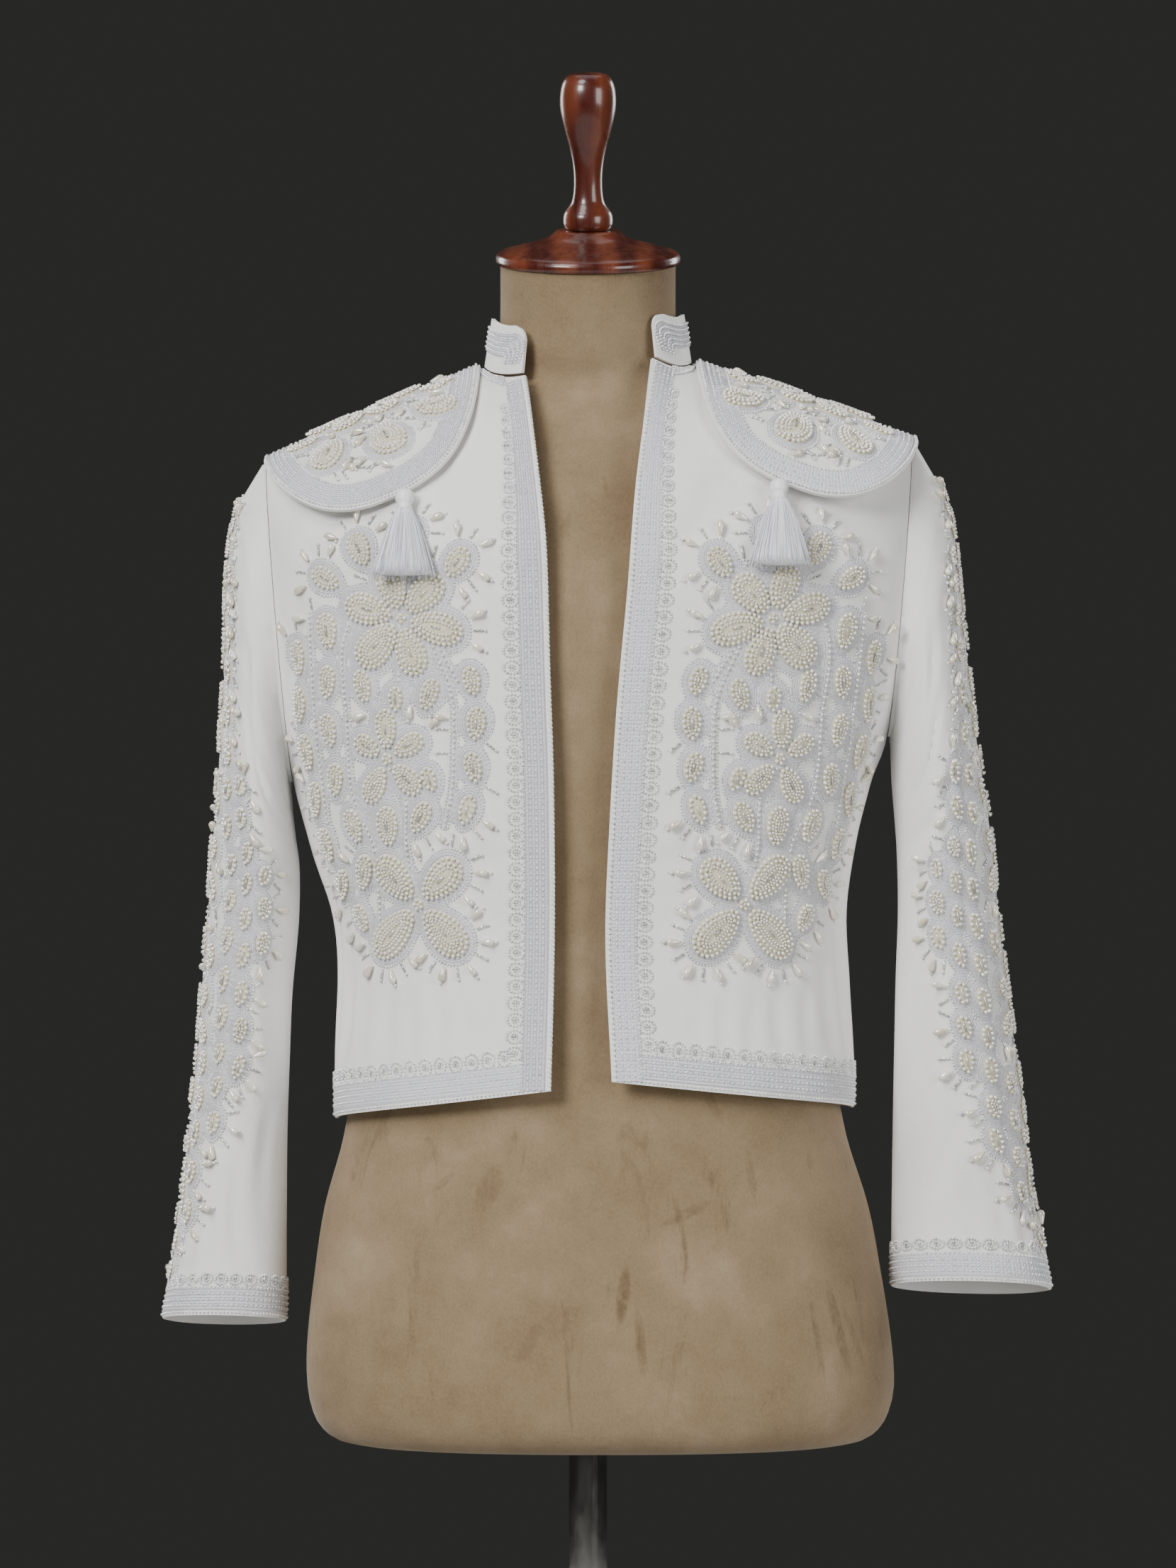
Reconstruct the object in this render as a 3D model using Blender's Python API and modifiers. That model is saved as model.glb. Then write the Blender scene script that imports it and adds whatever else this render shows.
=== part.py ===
"""A short embroidered matador jacket on a limbless dress form with a turned wooden handle.

Metres, +Z up, front towards -Y. Sides are the wearer's: left is +X, right is -X.
The origin is on the floor under the pole. Each panel of the jacket is a surface that
is worked out from a few tables of sizes, and what lies on a panel is made from the
panel's own points, moved out.
"""
import math

import bmesh
import bpy
from mathutils import Matrix, Vector

MM = 0.001
SIDES = {"right": -1, "left": 1}

# Cloth walls and the gaps between pieces
CLOTH = 2.0 * MM
SEAM_HALF_GAP = 0.45 * MM
SEAM_GAP = 0.4 * MM
LAY_GAP = 0.65 * MM
PETAL_GAP = 0.8 * MM
FLAP_BRAID_GAP = 1.0 * MM
BRAID_THICKNESS = 1.5 * MM
BRAID_WIDTH = 22 * MM
PIPING = 3 * MM

# Body of the jacket
CHEST_LINE = 0.985
SECTION_POWER = 0.85
SHOULDER_POWER = {"front": 1.22, "back": 0.95}
CENTRE_BACK_HEM = 0.600
HEM = {"right": {"front": 0.6245, "side": 0.5990}, "left": {"front": 0.6308, "side": 0.6065}}
SHOULDER = {"right": {"x": 0.2262, "z": 1.0600}, "left": {"x": 0.2275, "z": 1.0745}}
UNDERARM = {"right": {"x": 0.2075, "z": 0.8360}, "left": {"x": 0.2105, "z": 0.8680}}
ARM_REACH = {"front": 0.060, "back": 0.066}
NECK_HALF_WIDTH = 0.073
NECK_REACH = {("front", "right"): 0.072, ("front", "left"): 0.064,
              ("back", "right"): 0.068, ("back", "left"): 0.068}
NECK_HEIGHT = 1.128
NECK_TILT = 0.020
NECK_RISE = {"right": 0.0327, "left": 0.0463}
NECK_RISE_WIDTH = 0.055

# Stand collar
COLLAR_WALL = 2.4 * MM
COLLAR_SEAT = 2.2 * MM
COLLAR_HEIGHT = 0.034
COLLAR_LEAN = 0.0050
COLLAR_CORNER = 0.013
COLLAR_FRONT_ANGLE = {"right": 39.0, "left": 41.0}

# Shoulder flaps
FLAP_WALL = 3.0 * MM
FLAP_LIFT = 0.0055
FLAP_START = 0.0765
FLAP_LENGTH = 0.165
FLAP_HALF_DROP = 0.130
FLAP_BEND = {"front": (6.0, 59.0), "back": (0.0, 59.0)}
FLAP_CORNER_POWER = 2.5
FLAP_SKEW = 0.010

# Dress form and stand
FORM_BOTTOM = 0.372
POLE_RADIUS = 13.5 * MM
NECK_TOP = 1.2010
CAP_TILT = 12.0
CAP_SEAT_GAP = 0.35 * MM


class Table:
    """Sizes at a few stations, read in between along a smooth curve."""

    def __init__(self, columns, rows):
        self.columns = columns
        self.rows = rows

    def at(self, station, name):
        index = self.columns.index(name)
        rows = self.rows
        if station <= rows[0][0]:
            return rows[0][index]
        if station >= rows[-1][0]:
            return rows[-1][index]
        place = max(i for i, row in enumerate(rows) if row[0] <= station)

        def slope(i):
            low, high = max(i - 1, 0), min(i + 1, len(rows) - 1)
            return (rows[high][index] - rows[low][index]) / (rows[high][0] - rows[low][0])

        span = rows[place + 1][0] - rows[place][0]
        t = (station - rows[place][0]) / span
        a, b = rows[place][index], rows[place + 1][index]
        return ((2 * t**3 - 3 * t**2 + 1) * a + (t**3 - 2 * t**2 + t) * span * slope(place)
                + (-2 * t**3 + 3 * t**2) * b + (t**3 - t**2) * span * slope(place + 1))


BODY = Table(
    ("height", "half_width", "front", "back", "sway"),
    ((0.595, 0.1825, 0.126, 0.114, 0.0045),
     (0.640, 0.1828, 0.123, 0.111, 0.0045),
     (0.700, 0.1800, 0.119, 0.106, 0.0040),
     (0.745, 0.1812, 0.120, 0.106, 0.0010),
     (0.790, 0.1915, 0.124, 0.110, -0.0035),
     (0.836, 0.2035, 0.127, 0.116, -0.0040),
     (0.868, 0.2115, 0.128, 0.119, -0.0010),
     (0.920, 0.2115, 0.129, 0.121, 0.0),
     (0.985, 0.2115, 0.128, 0.121, 0.0)))

FRONT_EDGE = {
    "right": Table(("height", "x"), (
        (0.6245, 0.0255), (0.728, 0.0230), (0.835, 0.0235), (0.914, 0.0260),
        (0.995, 0.0284), (1.037, 0.0325), (1.085, 0.0400), (1.116, 0.0465))),
    "left": Table(("height", "x"), (
        (0.6308, 0.0163), (0.728, 0.0119), (0.808, 0.0148), (0.888, 0.0197),
        (0.967, 0.0269), (1.047, 0.0335), (1.090, 0.0410), (1.120, 0.0478)))}

# A sleeve's rings: its outer line and inner line seen from the front, how far it
# reaches forward and back of the seam, and how much its front stands above its back.
SLEEVE_COLUMNS = ("ring", "outer_x", "outer_z", "inner_x", "inner_z", "front", "back", "pitch")
SLEEVE = {
    "right": Table(SLEEVE_COLUMNS, (
        (1, 0.2440, 1.0365, 0.2095, 0.8320, 0.0640, 0.0690, 0.0),
        (2, 0.2510, 1.0050, 0.2093, 0.8275, 0.0660, 0.0710, 0.0),
        (3, 0.2535, 0.9650, 0.2088, 0.8215, 0.0670, 0.0720, 0.0),
        (4, 0.2550, 0.9150, 0.2080, 0.8120, 0.0665, 0.0715, 0.0),
        (5, 0.2585, 0.8550, 0.2062, 0.7970, 0.0650, 0.0690, 0.0),
        (6, 0.2625, 0.8000, 0.2035, 0.7750, 0.0640, 0.0650, 0.0),
        (7, 0.2665, 0.7450, 0.2040, 0.7380, 0.0625, 0.0605, 0.0),
        (8, 0.2705, 0.6900, 0.2085, 0.6880, 0.0605, 0.0560, 0.0),
        (9, 0.2745, 0.6400, 0.2105, 0.6400, 0.0580, 0.0510, 0.0),
        (10, 0.2810, 0.5900, 0.2120, 0.5910, 0.0550, 0.0460, 0.001),
        (11, 0.2880, 0.5350, 0.2125, 0.5370, 0.0515, 0.0400, 0.003),
        (12, 0.2955, 0.4900, 0.2125, 0.4920, 0.0485, 0.0350, 0.005),
        (13, 0.3005, 0.4580, 0.2130, 0.4565, 0.0475, 0.0325, 0.007))),
    "left": Table(SLEEVE_COLUMNS, (
        (1, 0.2465, 1.0475, 0.2130, 0.8640, 0.0635, 0.0690, 0.0),
        (2, 0.2555, 1.0170, 0.2135, 0.8590, 0.0655, 0.0710, 0.0),
        (3, 0.2600, 0.9780, 0.2138, 0.8510, 0.0665, 0.0720, 0.0),
        (4, 0.2655, 0.9250, 0.2143, 0.8350, 0.0665, 0.0715, 0.0),
        (5, 0.2725, 0.8650, 0.2160, 0.8130, 0.0650, 0.0690, 0.0),
        (6, 0.2815, 0.8050, 0.2180, 0.7830, 0.0630, 0.0650, 0.0),
        (7, 0.2870, 0.7500, 0.2187, 0.7430, 0.0605, 0.0600, 0.0),
        (8, 0.2935, 0.6950, 0.2170, 0.6930, 0.0575, 0.0550, 0.0),
        (9, 0.3005, 0.6450, 0.2160, 0.6450, 0.0540, 0.0495, 0.0),
        (10, 0.3070, 0.5950, 0.2150, 0.5970, 0.0500, 0.0440, 0.001),
        (11, 0.3145, 0.5450, 0.2143, 0.5480, 0.0450, 0.0385, 0.003),
        (12, 0.3230, 0.5050, 0.2138, 0.5080, 0.0410, 0.0340, 0.005),
        (13, 0.3270, 0.4785, 0.2138, 0.4810, 0.0385, 0.0320, 0.0075)))}
SLEEVE_END = 13
SLEEVE_STAND = 3.0 * MM

# The sleeves' broad drag folds: where along and round the sleeve, how wide, how deep
SLEEVE_FOLD_COLUMNS = ("ring", "turn", "length", "width", "depth")
SLEEVE_FOLDS = (
    (6.6, 75, 1.0, 26, 0.0040),
    (7.6, -70, 1.1, 30, 0.0045),
    (11.4, 20, 1.3, 22, 0.0030),
    (11.8, 95, 1.2, 26, 0.0030),
    (5.2, -120, 1.2, 30, 0.0040))

FORM = Table(
    ("height", "half_width", "front", "back", "sway", "slant", "power"),
    ((0.3720, 0.1740, 0.092, 0.098, 0.009, 0.0, 0.85),
     (0.3745, 0.1860, 0.101, 0.108, 0.009, 0.0, 0.85),
     (0.3815, 0.1960, 0.110, 0.117, 0.009, 0.0, 0.85),
     (0.3925, 0.2025, 0.115, 0.123, 0.009, 0.0, 0.85),
     (0.4110, 0.2065, 0.118, 0.127, 0.009, 0.0, 0.85),
     (0.4400, 0.2060, 0.118, 0.128, 0.008, 0.0, 0.85),
     (0.4875, 0.2000, 0.117, 0.123, 0.007, 0.0, 0.85),
     (0.5375, 0.1915, 0.114, 0.114, 0.006, 0.0, 0.85),
     (0.5875, 0.1770, 0.109, 0.103, 0.005, 0.0, 0.85),
     (0.6400, 0.1690, 0.105, 0.097, 0.004, 0.0, 0.85),
     (0.7000, 0.1640, 0.103, 0.093, 0.003, 0.0, 0.85),
     (0.7700, 0.1670, 0.107, 0.096, 0.001, 0.0, 0.85),
     (0.8400, 0.1770, 0.113, 0.104, 0.0, 0.0, 0.85),
     (0.9100, 0.1860, 0.1165, 0.109, 0.0, 0.0, 0.85),
     (0.9800, 0.1890, 0.114, 0.110, 0.0, 0.0, 0.86),
     (1.0200, 0.1860, 0.100, 0.1045, 0.0, 0.0, 0.88),
     (1.0480, 0.1780, 0.087, 0.0960, 0.0, 0.0, 0.90),
     (1.0660, 0.1645, 0.0755, 0.0880, 0.0, 0.0, 0.92),
     (1.0800, 0.1465, 0.0675, 0.0810, 0.0, 0.0, 0.95),
     (1.0920, 0.1305, 0.0615, 0.0740, 0.0, 0.0, 0.97),
     (1.1020, 0.1090, 0.0560, 0.0650, 0.0, 0.005, 1.0),
     (1.1100, 0.0910, 0.0515, 0.0560, 0.0, 0.015, 1.0),
     (1.1180, 0.0780, 0.0495, 0.0515, 0.0, 0.03, 1.0),
     (1.1260, 0.0665, 0.0500, 0.0545, 0.0, 0.05, 1.0),
     (1.1370, 0.0630, 0.0525, 0.0575, 0.0, 0.07, 1.0),
     (1.1650, 0.0618, 0.0550, 0.0585, 0.0, 0.13, 1.0),
     (1.2010, 0.0618, 0.0600, 0.0600, 0.0, 0.2126, 1.0)))

# Turned pieces: radius and height, from the bottom of the outer side to the top
CAP_PROFILE = ((0.0, 0.0), (0.0630, 0.0), (0.0645, 0.0010), (0.0652, 0.0035), (0.0645, 0.0065),
               (0.0610, 0.0090), (0.0500, 0.0120), (0.0390, 0.0150), (0.0300, 0.0180),
               (0.0260, 0.0205), (0.0225, 0.0238), (0.0, 0.0240))
HANDLE_PROFILE = ((0.0, 0.0243), (0.0150, 0.0243), (0.0172, 0.0270), (0.0176, 0.0315),
                  (0.0168, 0.0360), (0.0140, 0.0400), (0.0112, 0.0450), (0.0100, 0.0550),
                  (0.0105, 0.0680), (0.0130, 0.0820), (0.0168, 0.0960), (0.0194, 0.1080),
                  (0.0197, 0.1180), (0.0180, 0.1270), (0.0140, 0.1325), (0.0100, 0.1340),
                  (0.0, 0.1343))
BASE_PROFILE = ((0.0, 0.0), (0.1670, 0.0), (0.1700, 0.0030), (0.1700, 0.0130), (0.1660, 0.0170),
                (0.1550, 0.0180), (0.0300, 0.0210), (0.0220, 0.0230), (0.0205, 0.0270),
                (0.0205, 0.0400), (0.0190, 0.0420), (0.0, 0.0420))

# Petal groups: each petal's direction (0 is towards the front edge or outer line's front,
# 90 is up), length and width. Directions are whole steps of the rays.
RAYS = 24
SLEEVE_RAYS = 16
PETAL_CORE = 0.009
PETAL_HEIGHT = 0.0035
PETAL_EDGE = 0.0009
BLOOM = ((15, 0.044, 0.027), (75, 0.040, 0.026), (135, 0.042, 0.027),
         (195, 0.046, 0.028), (255, 0.042, 0.027), (315, 0.046, 0.030))
SPRAY = ((30, 0.030, 0.020), (90, 0.036, 0.021), (150, 0.032, 0.020),
         (225, 0.034, 0.022), (300, 0.036, 0.022))
CROSS = ((45, 0.046, 0.029), (135, 0.044, 0.028), (225, 0.049, 0.030), (315, 0.052, 0.030))
SPRIG = ((45, 0.026, 0.018), (135, 0.026, 0.018), (225, 0.030, 0.019), (315, 0.030, 0.019))
TIP = ((67.5, 0.020, 0.014), (112.5, 0.020, 0.014), (270, 0.034, 0.017))
CAPE = ((0, 0.046, 0.030), (60, 0.042, 0.027), (120, 0.042, 0.027),
        (180, 0.046, 0.030), (240, 0.042, 0.027), (300, 0.042, 0.027))

# Where the groups sit: metres from the front edge along the cloth, and height
CHEST_FLOWERS = (("upper", 0.102, 0.948, BLOOM), ("middle", 0.116, 0.852, SPRAY),
                 ("lower", 0.096, 0.752, CROSS))
# On the sleeves: metres forward of the outer line, and ring
SLEEVE_FLOWERS = (("one", 0.004, 2.7, SPRIG), ("two", 0.004, 4.5, SPRIG), ("three", 0.010, 6.4, SPRIG),
                  ("four", 0.012, 8.3, SPRIG), ("five", 0.012, 10.4, TIP))
FLAP_FLOWER_ALONG = 0.088

# Tassels
TASSEL_ALONG = {"right": 0.083, "left": 0.082}
TASSEL_HEAD_RADIUS = 0.0062
TASSEL_HEAD_HEIGHT = 0.015
TASSEL_SKIRT = 0.050
TASSEL_SPREAD_X = 0.0215
TASSEL_SPREAD_Y = 0.0060
TASSEL_LEAN = 19.0
TASSEL_RINGS = 3
TASSEL_SPOKES = 10
TASSEL_SEAT = (0.0, -0.0022, 0.0006)


def mix(a, b, t):
    return a + (b - a) * t


def ease(t):
    t = min(max(t, 0.0), 1.0)
    return t * t * (3 - 2 * t)


# The body panels

def armhole_edge(side, face, height):
    """Where the armhole lies at a height: distance from the middle, and from the seam plane."""
    low, high = UNDERARM[side], SHOULDER[side]
    t = min(max((height - low["z"]) / (high["z"] - low["z"]), 0.0), 1.0)
    reach = ARM_REACH[face] * math.sqrt(max(0.0, 1 - (2 * t - 1) ** 2))
    return mix(low["x"], high["x"], t), reach


def panel_edge(side, face, height):
    if height > UNDERARM[side]["z"]:
        return armhole_edge(side, face, height)
    return BODY.at(height, "half_width") + SIDES[side] * BODY.at(height, "sway"), 0.0


def ridge_height(side, x):
    """Height of the shoulder line over a distance x from the middle."""
    signed = SIDES[side] * min(x, NECK_HALF_WIDTH)
    neck = NECK_HEIGHT + NECK_TILT * signed
    if x <= NECK_HALF_WIDTH:
        return neck
    out = (x - NECK_HALF_WIDTH) / (SHOULDER[side]["x"] - NECK_HALF_WIDTH)
    return mix(neck, SHOULDER[side]["z"], out)


def section_angle(reach, depth):
    return math.acos(min(0.9, max(0.0, reach / max(depth, 1e-6))) ** (1 / SECTION_POWER))


SPACING_STEPS = 64
SPACING_DEPTH_RATIO = 0.60


def even_spacing():
    """Shares of a section's angle at which its arc is cut into equal lengths."""
    lengths = [0.0]
    last = (0.0, SPACING_DEPTH_RATIO)
    for i in range(1, SPACING_STEPS + 1):
        angle = math.pi / 2 * i / SPACING_STEPS
        here = (math.sin(angle) ** SECTION_POWER,
                SPACING_DEPTH_RATIO * max(0.0, math.cos(angle)) ** SECTION_POWER)
        lengths.append(lengths[-1] + math.dist(last, here))
        last = here
    return [length / lengths[-1] for length in lengths]


EVEN_LENGTHS = even_spacing()


def even(share):
    """The share of a section's angle that lies a share of the arc's length along."""
    share = min(max(share, 0.0), 1.0)
    place = max(i for i in range(SPACING_STEPS) if EVEN_LENGTHS[i] <= share)
    part = (share - EVEN_LENGTHS[place]) / (EVEN_LENGTHS[place + 1] - EVEN_LENGTHS[place])
    return (place + part) / SPACING_STEPS


def even_inverse(angle_share):
    place = min(int(angle_share * SPACING_STEPS), SPACING_STEPS - 1)
    part = angle_share * SPACING_STEPS - place
    return mix(EVEN_LENGTHS[place], EVEN_LENGTHS[place + 1], part)


def hem_height(side, face, across):
    if face == "front":
        return mix(HEM[side]["front"], HEM[side]["side"], across)
    return mix(CENTRE_BACK_HEM, HEM[side]["side"], across)


def section_point(side, face, across, height, edge, depth):
    """A point of one section, from the front edge or centre back to its outer end."""
    edge_x, edge_reach = edge
    end = section_angle(edge_reach, depth)
    angle = end * even(across)
    if face == "front":
        start_x = FRONT_EDGE[side].at(height, "x")
        start = math.asin(min(1.0, math.sin(end) * (start_x / edge_x) ** (1 / SECTION_POWER)))
        first = start / end
        angle = end * even(mix(even_inverse(first), 1.0, across))
    x = edge_x * (math.sin(angle) / math.sin(end)) ** SECTION_POWER
    reach = depth * max(0.0, math.cos(angle)) ** SECTION_POWER
    return x, reach


def panel_parts(side, face, across, up):
    """Distance from the middle, reach from the seam plane, and height."""
    if up <= 1:
        height = mix(hem_height(side, face, across), CHEST_LINE, up)
        edge = panel_edge(side, face, height)
        x, reach = section_point(side, face, across, height, edge, BODY.at(height, face))
        return x, reach, height
    turn = (up - 1) * top_turn(side, face, across)
    return shoulder_parts(side, face, across, turn)


def shoulder_parts(side, face, across, turn):
    """The same above the chest line, where the panel turns over towards the shoulder."""
    power = SHOULDER_POWER[face]
    rise = math.sin(turn) ** power
    depth = BODY.at(CHEST_LINE, face) * max(0.0, math.cos(turn)) ** power
    end_height = mix(CHEST_LINE, SHOULDER[side]["z"], rise)
    start_height = mix(CHEST_LINE, NECK_HEIGHT, rise)
    edge = armhole_edge(side, face, end_height)
    x, reach = section_point(side, face, across, start_height, edge, max(depth, 1e-5))
    height = mix(CHEST_LINE, ridge_height(side, x), rise)
    return x, reach, height + neck_rise(side, face, x, reach)


def neck_rise(side, face, x, reach):
    """The fronts stand up a little where they meet the collar."""
    if face == "back":
        return 0.0
    deep = reach / NECK_REACH[face, side]
    size = max(1.0, math.hypot(x / NECK_HALF_WIDTH, deep))
    away = (size - 1) * NECK_HALF_WIDTH / NECK_RISE_WIDTH
    return NECK_RISE[side] * max(0.0, 1 - away) ** 2 * (deep / size) ** 3


def neck_reach(side, face, x):
    inside = 1 - (x / NECK_HALF_WIDTH) ** 2
    return NECK_REACH[face, side] * math.sqrt(inside) if inside > 0 else 0.0


TOP_TURNS = {}


def top_turn(side, face, across):
    """How far the panel turns over before it meets the shoulder seam or the neckline."""
    key = (side, face, round(across, 6))
    if key not in TOP_TURNS:
        low, high = 0.2, math.pi / 2
        for _ in range(40):
            middle = (low + high) / 2
            x, reach, _height = shoulder_parts(side, face, across, middle)
            if reach > neck_reach(side, face, x) + 1e-9:
                low = middle
            else:
                high = middle
        TOP_TURNS[key] = high
    return TOP_TURNS[key]


def panel_point(side, face, across, up):
    x, reach, height = panel_parts(side, face, across, up)
    forward = -1 if face == "front" else 1
    return Vector((SIDES[side] * x, forward * max(reach, SEAM_HALF_GAP), height))


def underarm_up(side, face):
    side_hem = HEM[side]["side"]
    return (UNDERARM[side]["z"] - side_hem) / (CHEST_LINE - side_hem)


BELOW_UNDERARM = (0.0, 0.11, 0.23, 0.35, 0.46, 0.58, 0.70, 0.85, 1.0)
ABOVE_UNDERARM = (0.04, 0.12, 0.26, 0.46, 0.72, 1.0)
OVER_CHEST = (0.17, 0.34, 0.50, 0.65, 0.78, 0.88, 0.95, 1.0)


def panel_rows(side, face):
    level = underarm_up(side, face)
    return ([level * t for t in BELOW_UNDERARM] + [mix(level, 1.0, t) for t in ABOVE_UNDERARM]
            + [1.0 + t for t in OVER_CHEST])


class Chart:
    """A surface laid flat: metres across and up give its point, moved out along its normal."""

    def __init__(self, point, outward):
        self.point = point
        self.outward = outward

    def frame(self, across, up):
        step = 1.5 * MM
        here = self.point(across, up)
        east = self.point(across + step, up) - self.point(across - step, up)
        north = self.point(across, up + step) - self.point(across, up - step)
        normal = east.cross(north).normalized()
        if normal.dot(self.outward(here)) < 0:
            normal.negate()
        return here, normal

    def at(self, across, up, lift):
        here, normal = self.frame(across, up)
        return here + normal * lift


SECTION_STEPS = 48


def front_section(side, height):
    """The section of a front at one height: lengths from the front edge, and its points."""
    edge = panel_edge(side, "front", height)
    depth = BODY.at(height, "front")
    points, lengths = [], []
    for i in range(SECTION_STEPS + 1):
        x, reach = section_point(side, "front", i / SECTION_STEPS, height, edge, depth)
        points.append(Vector((SIDES[side] * x, -reach, height)))
        lengths.append(lengths[-1] + (points[-1] - points[-2]).length if i else 0.0)
    return lengths, points


def front_chart(side):
    """Metres from the front edge along the cloth, and height, below the chest line."""

    def point(across, height):
        lengths, points = front_section(side, height)
        across = min(max(across, 0.0), lengths[-1])
        place = max(i for i in range(SECTION_STEPS) if lengths[i] <= across)
        t = (across - lengths[place]) / (lengths[place + 1] - lengths[place])
        return points[place].lerp(points[place + 1], t)

    return Chart(point, lambda here: Vector((here.x, here.y, 0)))


# The sleeves

def sleeve_fold(ring, turn):
    """How far the sleeve's broad folds pull its surface in."""
    pull = 0.0
    for row in SLEEVE_FOLDS:
        fold = dict(zip(SLEEVE_FOLD_COLUMNS, row))
        around = (math.degrees(turn) - fold["turn"] + 180) % 360 - 180
        pull += fold["depth"] * math.exp(-(around / fold["width"]) ** 2
                                         - ((ring - fold["ring"]) / fold["length"]) ** 2)
    return pull


def sleeve_point(side, ring, turn, inset=0.0):
    """Outer face of a sleeve. turn is 0 on the outer line, a quarter turn at the front."""
    sign = SIDES[side]
    if ring < 1:
        high, low = SHOULDER[side], UNDERARM[side]
        along = Vector((high["x"] - low["x"], 0, high["z"] - low["z"])).normalized()
        out = Vector((along.z, 0, -along.x)) * (SEAM_GAP + ring * SLEEVE_STAND)
        outer, inner = (high["x"], high["z"]), (low["x"], low["z"])
        front, back, pitch = ARM_REACH["front"], ARM_REACH["back"], 0.0
    else:
        table = SLEEVE[side]
        outer = table.at(ring, "outer_x"), table.at(ring, "outer_z")
        inner = table.at(ring, "inner_x"), table.at(ring, "inner_z")
        front, back = table.at(ring, "front"), table.at(ring, "back")
        pitch = table.at(ring, "pitch")
        out = Vector((0, 0, 0))
    middle = Vector((outer[0] + inner[0], 0, outer[1] + inner[1])) / 2 + out
    half = Vector((outer[0] - inner[0], 0, outer[1] - inner[1])) / 2
    pull = inset + (sleeve_fold(ring, turn) if ring >= 1 else 0.0)
    half *= (half.length - pull) / half.length
    reach = (front if math.sin(turn) > 0 else back) - pull
    place = middle + half * math.cos(turn) + Vector((0, -reach, pitch)) * math.sin(turn)
    return Vector((sign * place.x, place.y, place.z))


SLEEVE_RINGS = (0, 0.9, 1.4, 2, 3, 4, 5, 6, 7, 8, 9, 10, 11, 12, 13)
SLEEVE_SPOKES = 18


def sleeve_chart(side):
    """Metres forward of the outer line, and metres down the sleeve as ring times ten."""

    def point(around, ring_scaled):
        ring = ring_scaled / RING_PITCH
        size = (sleeve_point(side, ring, 0.0) - sleeve_point(side, ring, math.pi)).length / 2
        deep = SLEEVE[side].at(ring, "front")
        mean = (size + deep) / 2
        return sleeve_point(side, ring, around / mean)

    sign = SIDES[side]
    return Chart(point, lambda here: Vector((here.x - sign * 0.225, here.y, 0)))


RING_PITCH = 0.0495


# Mesh building

def material(name, colour, roughness, metallic=0.0):
    made = bpy.data.materials.new(name)
    made.use_nodes = True
    shader = made.node_tree.nodes["Principled BSDF"]
    shader.inputs["Base Color"].default_value = (*colour, 1.0)
    shader.inputs["Roughness"].default_value = roughness
    shader.inputs["Metallic"].default_value = metallic
    return made


def add_object(name, mesh, finish):
    obj = bpy.data.objects.new(name, mesh)
    JACKET.objects.link(obj)
    mesh.materials.append(finish)
    mesh.shade_smooth()
    mesh.set_sharp_from_angle(angle=math.radians(40))
    return obj


def mesh_from(name, build):
    made = bmesh.new()
    build(made)
    bmesh.ops.recalc_face_normals(made, faces=made.faces)
    mesh = bpy.data.meshes.new(name)
    made.to_mesh(mesh)
    made.free()
    return mesh


def strip_faces(made, rows, closed):
    """Quads between rows of vertices; closed rows join their last vertex to their first."""
    count = len(rows[0])
    for low, high in zip(rows, rows[1:]):
        for i in range(count if closed else count - 1):
            j = (i + 1) % count
            made.faces.new((low[i], low[j], high[j], high[i]))


def sheet(name, rows, thickness, finish, outward, closed=False):
    """An open surface through rows of points, given its thickness inwards."""
    made = bmesh.new()
    verts = [[made.verts.new(point) for point in row] for row in rows]
    strip_faces(made, verts, closed)
    face = made.faces[:][len(made.faces) // 2] if made.faces else None
    made.normal_update()
    if face.normal.dot(outward(face.calc_center_median())) < 0:
        bmesh.ops.reverse_faces(made, faces=made.faces)
    mesh = bpy.data.meshes.new(name)
    made.to_mesh(mesh)
    made.free()
    obj = add_object(name, mesh, finish)
    wall = obj.modifiers.new("wall", "SOLIDIFY")
    wall.thickness = thickness
    wall.offset = -1.0
    return obj


def turned(name, profile, finish, steps):
    """A profile turned about the vertical; it runs down the outer side, top to bottom."""
    mesh = bpy.data.meshes.new(name)
    points = [(radius, 0.0, height) for radius, height in reversed(profile)]
    mesh.from_pydata(points, [(i, i + 1) for i in range(len(points) - 1)], [])
    obj = add_object(name, mesh, finish)
    screw = obj.modifiers.new("turn", "SCREW")
    screw.steps = steps
    screw.render_steps = steps
    screw.use_merge_vertices = True
    screw.merge_threshold = 1e-5
    return obj


# Pieces

def make_stand(finishes):
    turned("base", BASE_PROFILE, finishes["base"], 24)
    pole_top = FORM_BOTTOM - 0.3 * MM
    pole_foot = BASE_PROFILE[-1][1] + 0.3 * MM
    bpy.ops.mesh.primitive_cylinder_add(vertices=24, radius=POLE_RADIUS, depth=pole_top - pole_foot,
                                        location=(0, 0, (pole_top + pole_foot) / 2))
    pole = bpy.context.object
    pole.name = "pole"
    for holder in list(pole.users_collection):
        holder.objects.unlink(pole)
    JACKET.objects.link(pole)
    pole.data.materials.append(finishes["chrome"])
    pole.data.shade_smooth()
    pole.data.set_sharp_from_angle(angle=math.radians(40))
    seat = Vector((0, 0, NECK_TOP + CAP_SEAT_GAP))
    tilt = Matrix.Rotation(math.radians(CAP_TILT), 4, "X")
    for name, profile, steps in (("neck_cap", CAP_PROFILE, 24), ("handle", HANDLE_PROFILE, 16)):
        piece = turned(name, profile, finishes["wood"], steps)
        piece.matrix_world = Matrix.Translation(seat) @ tilt


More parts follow.
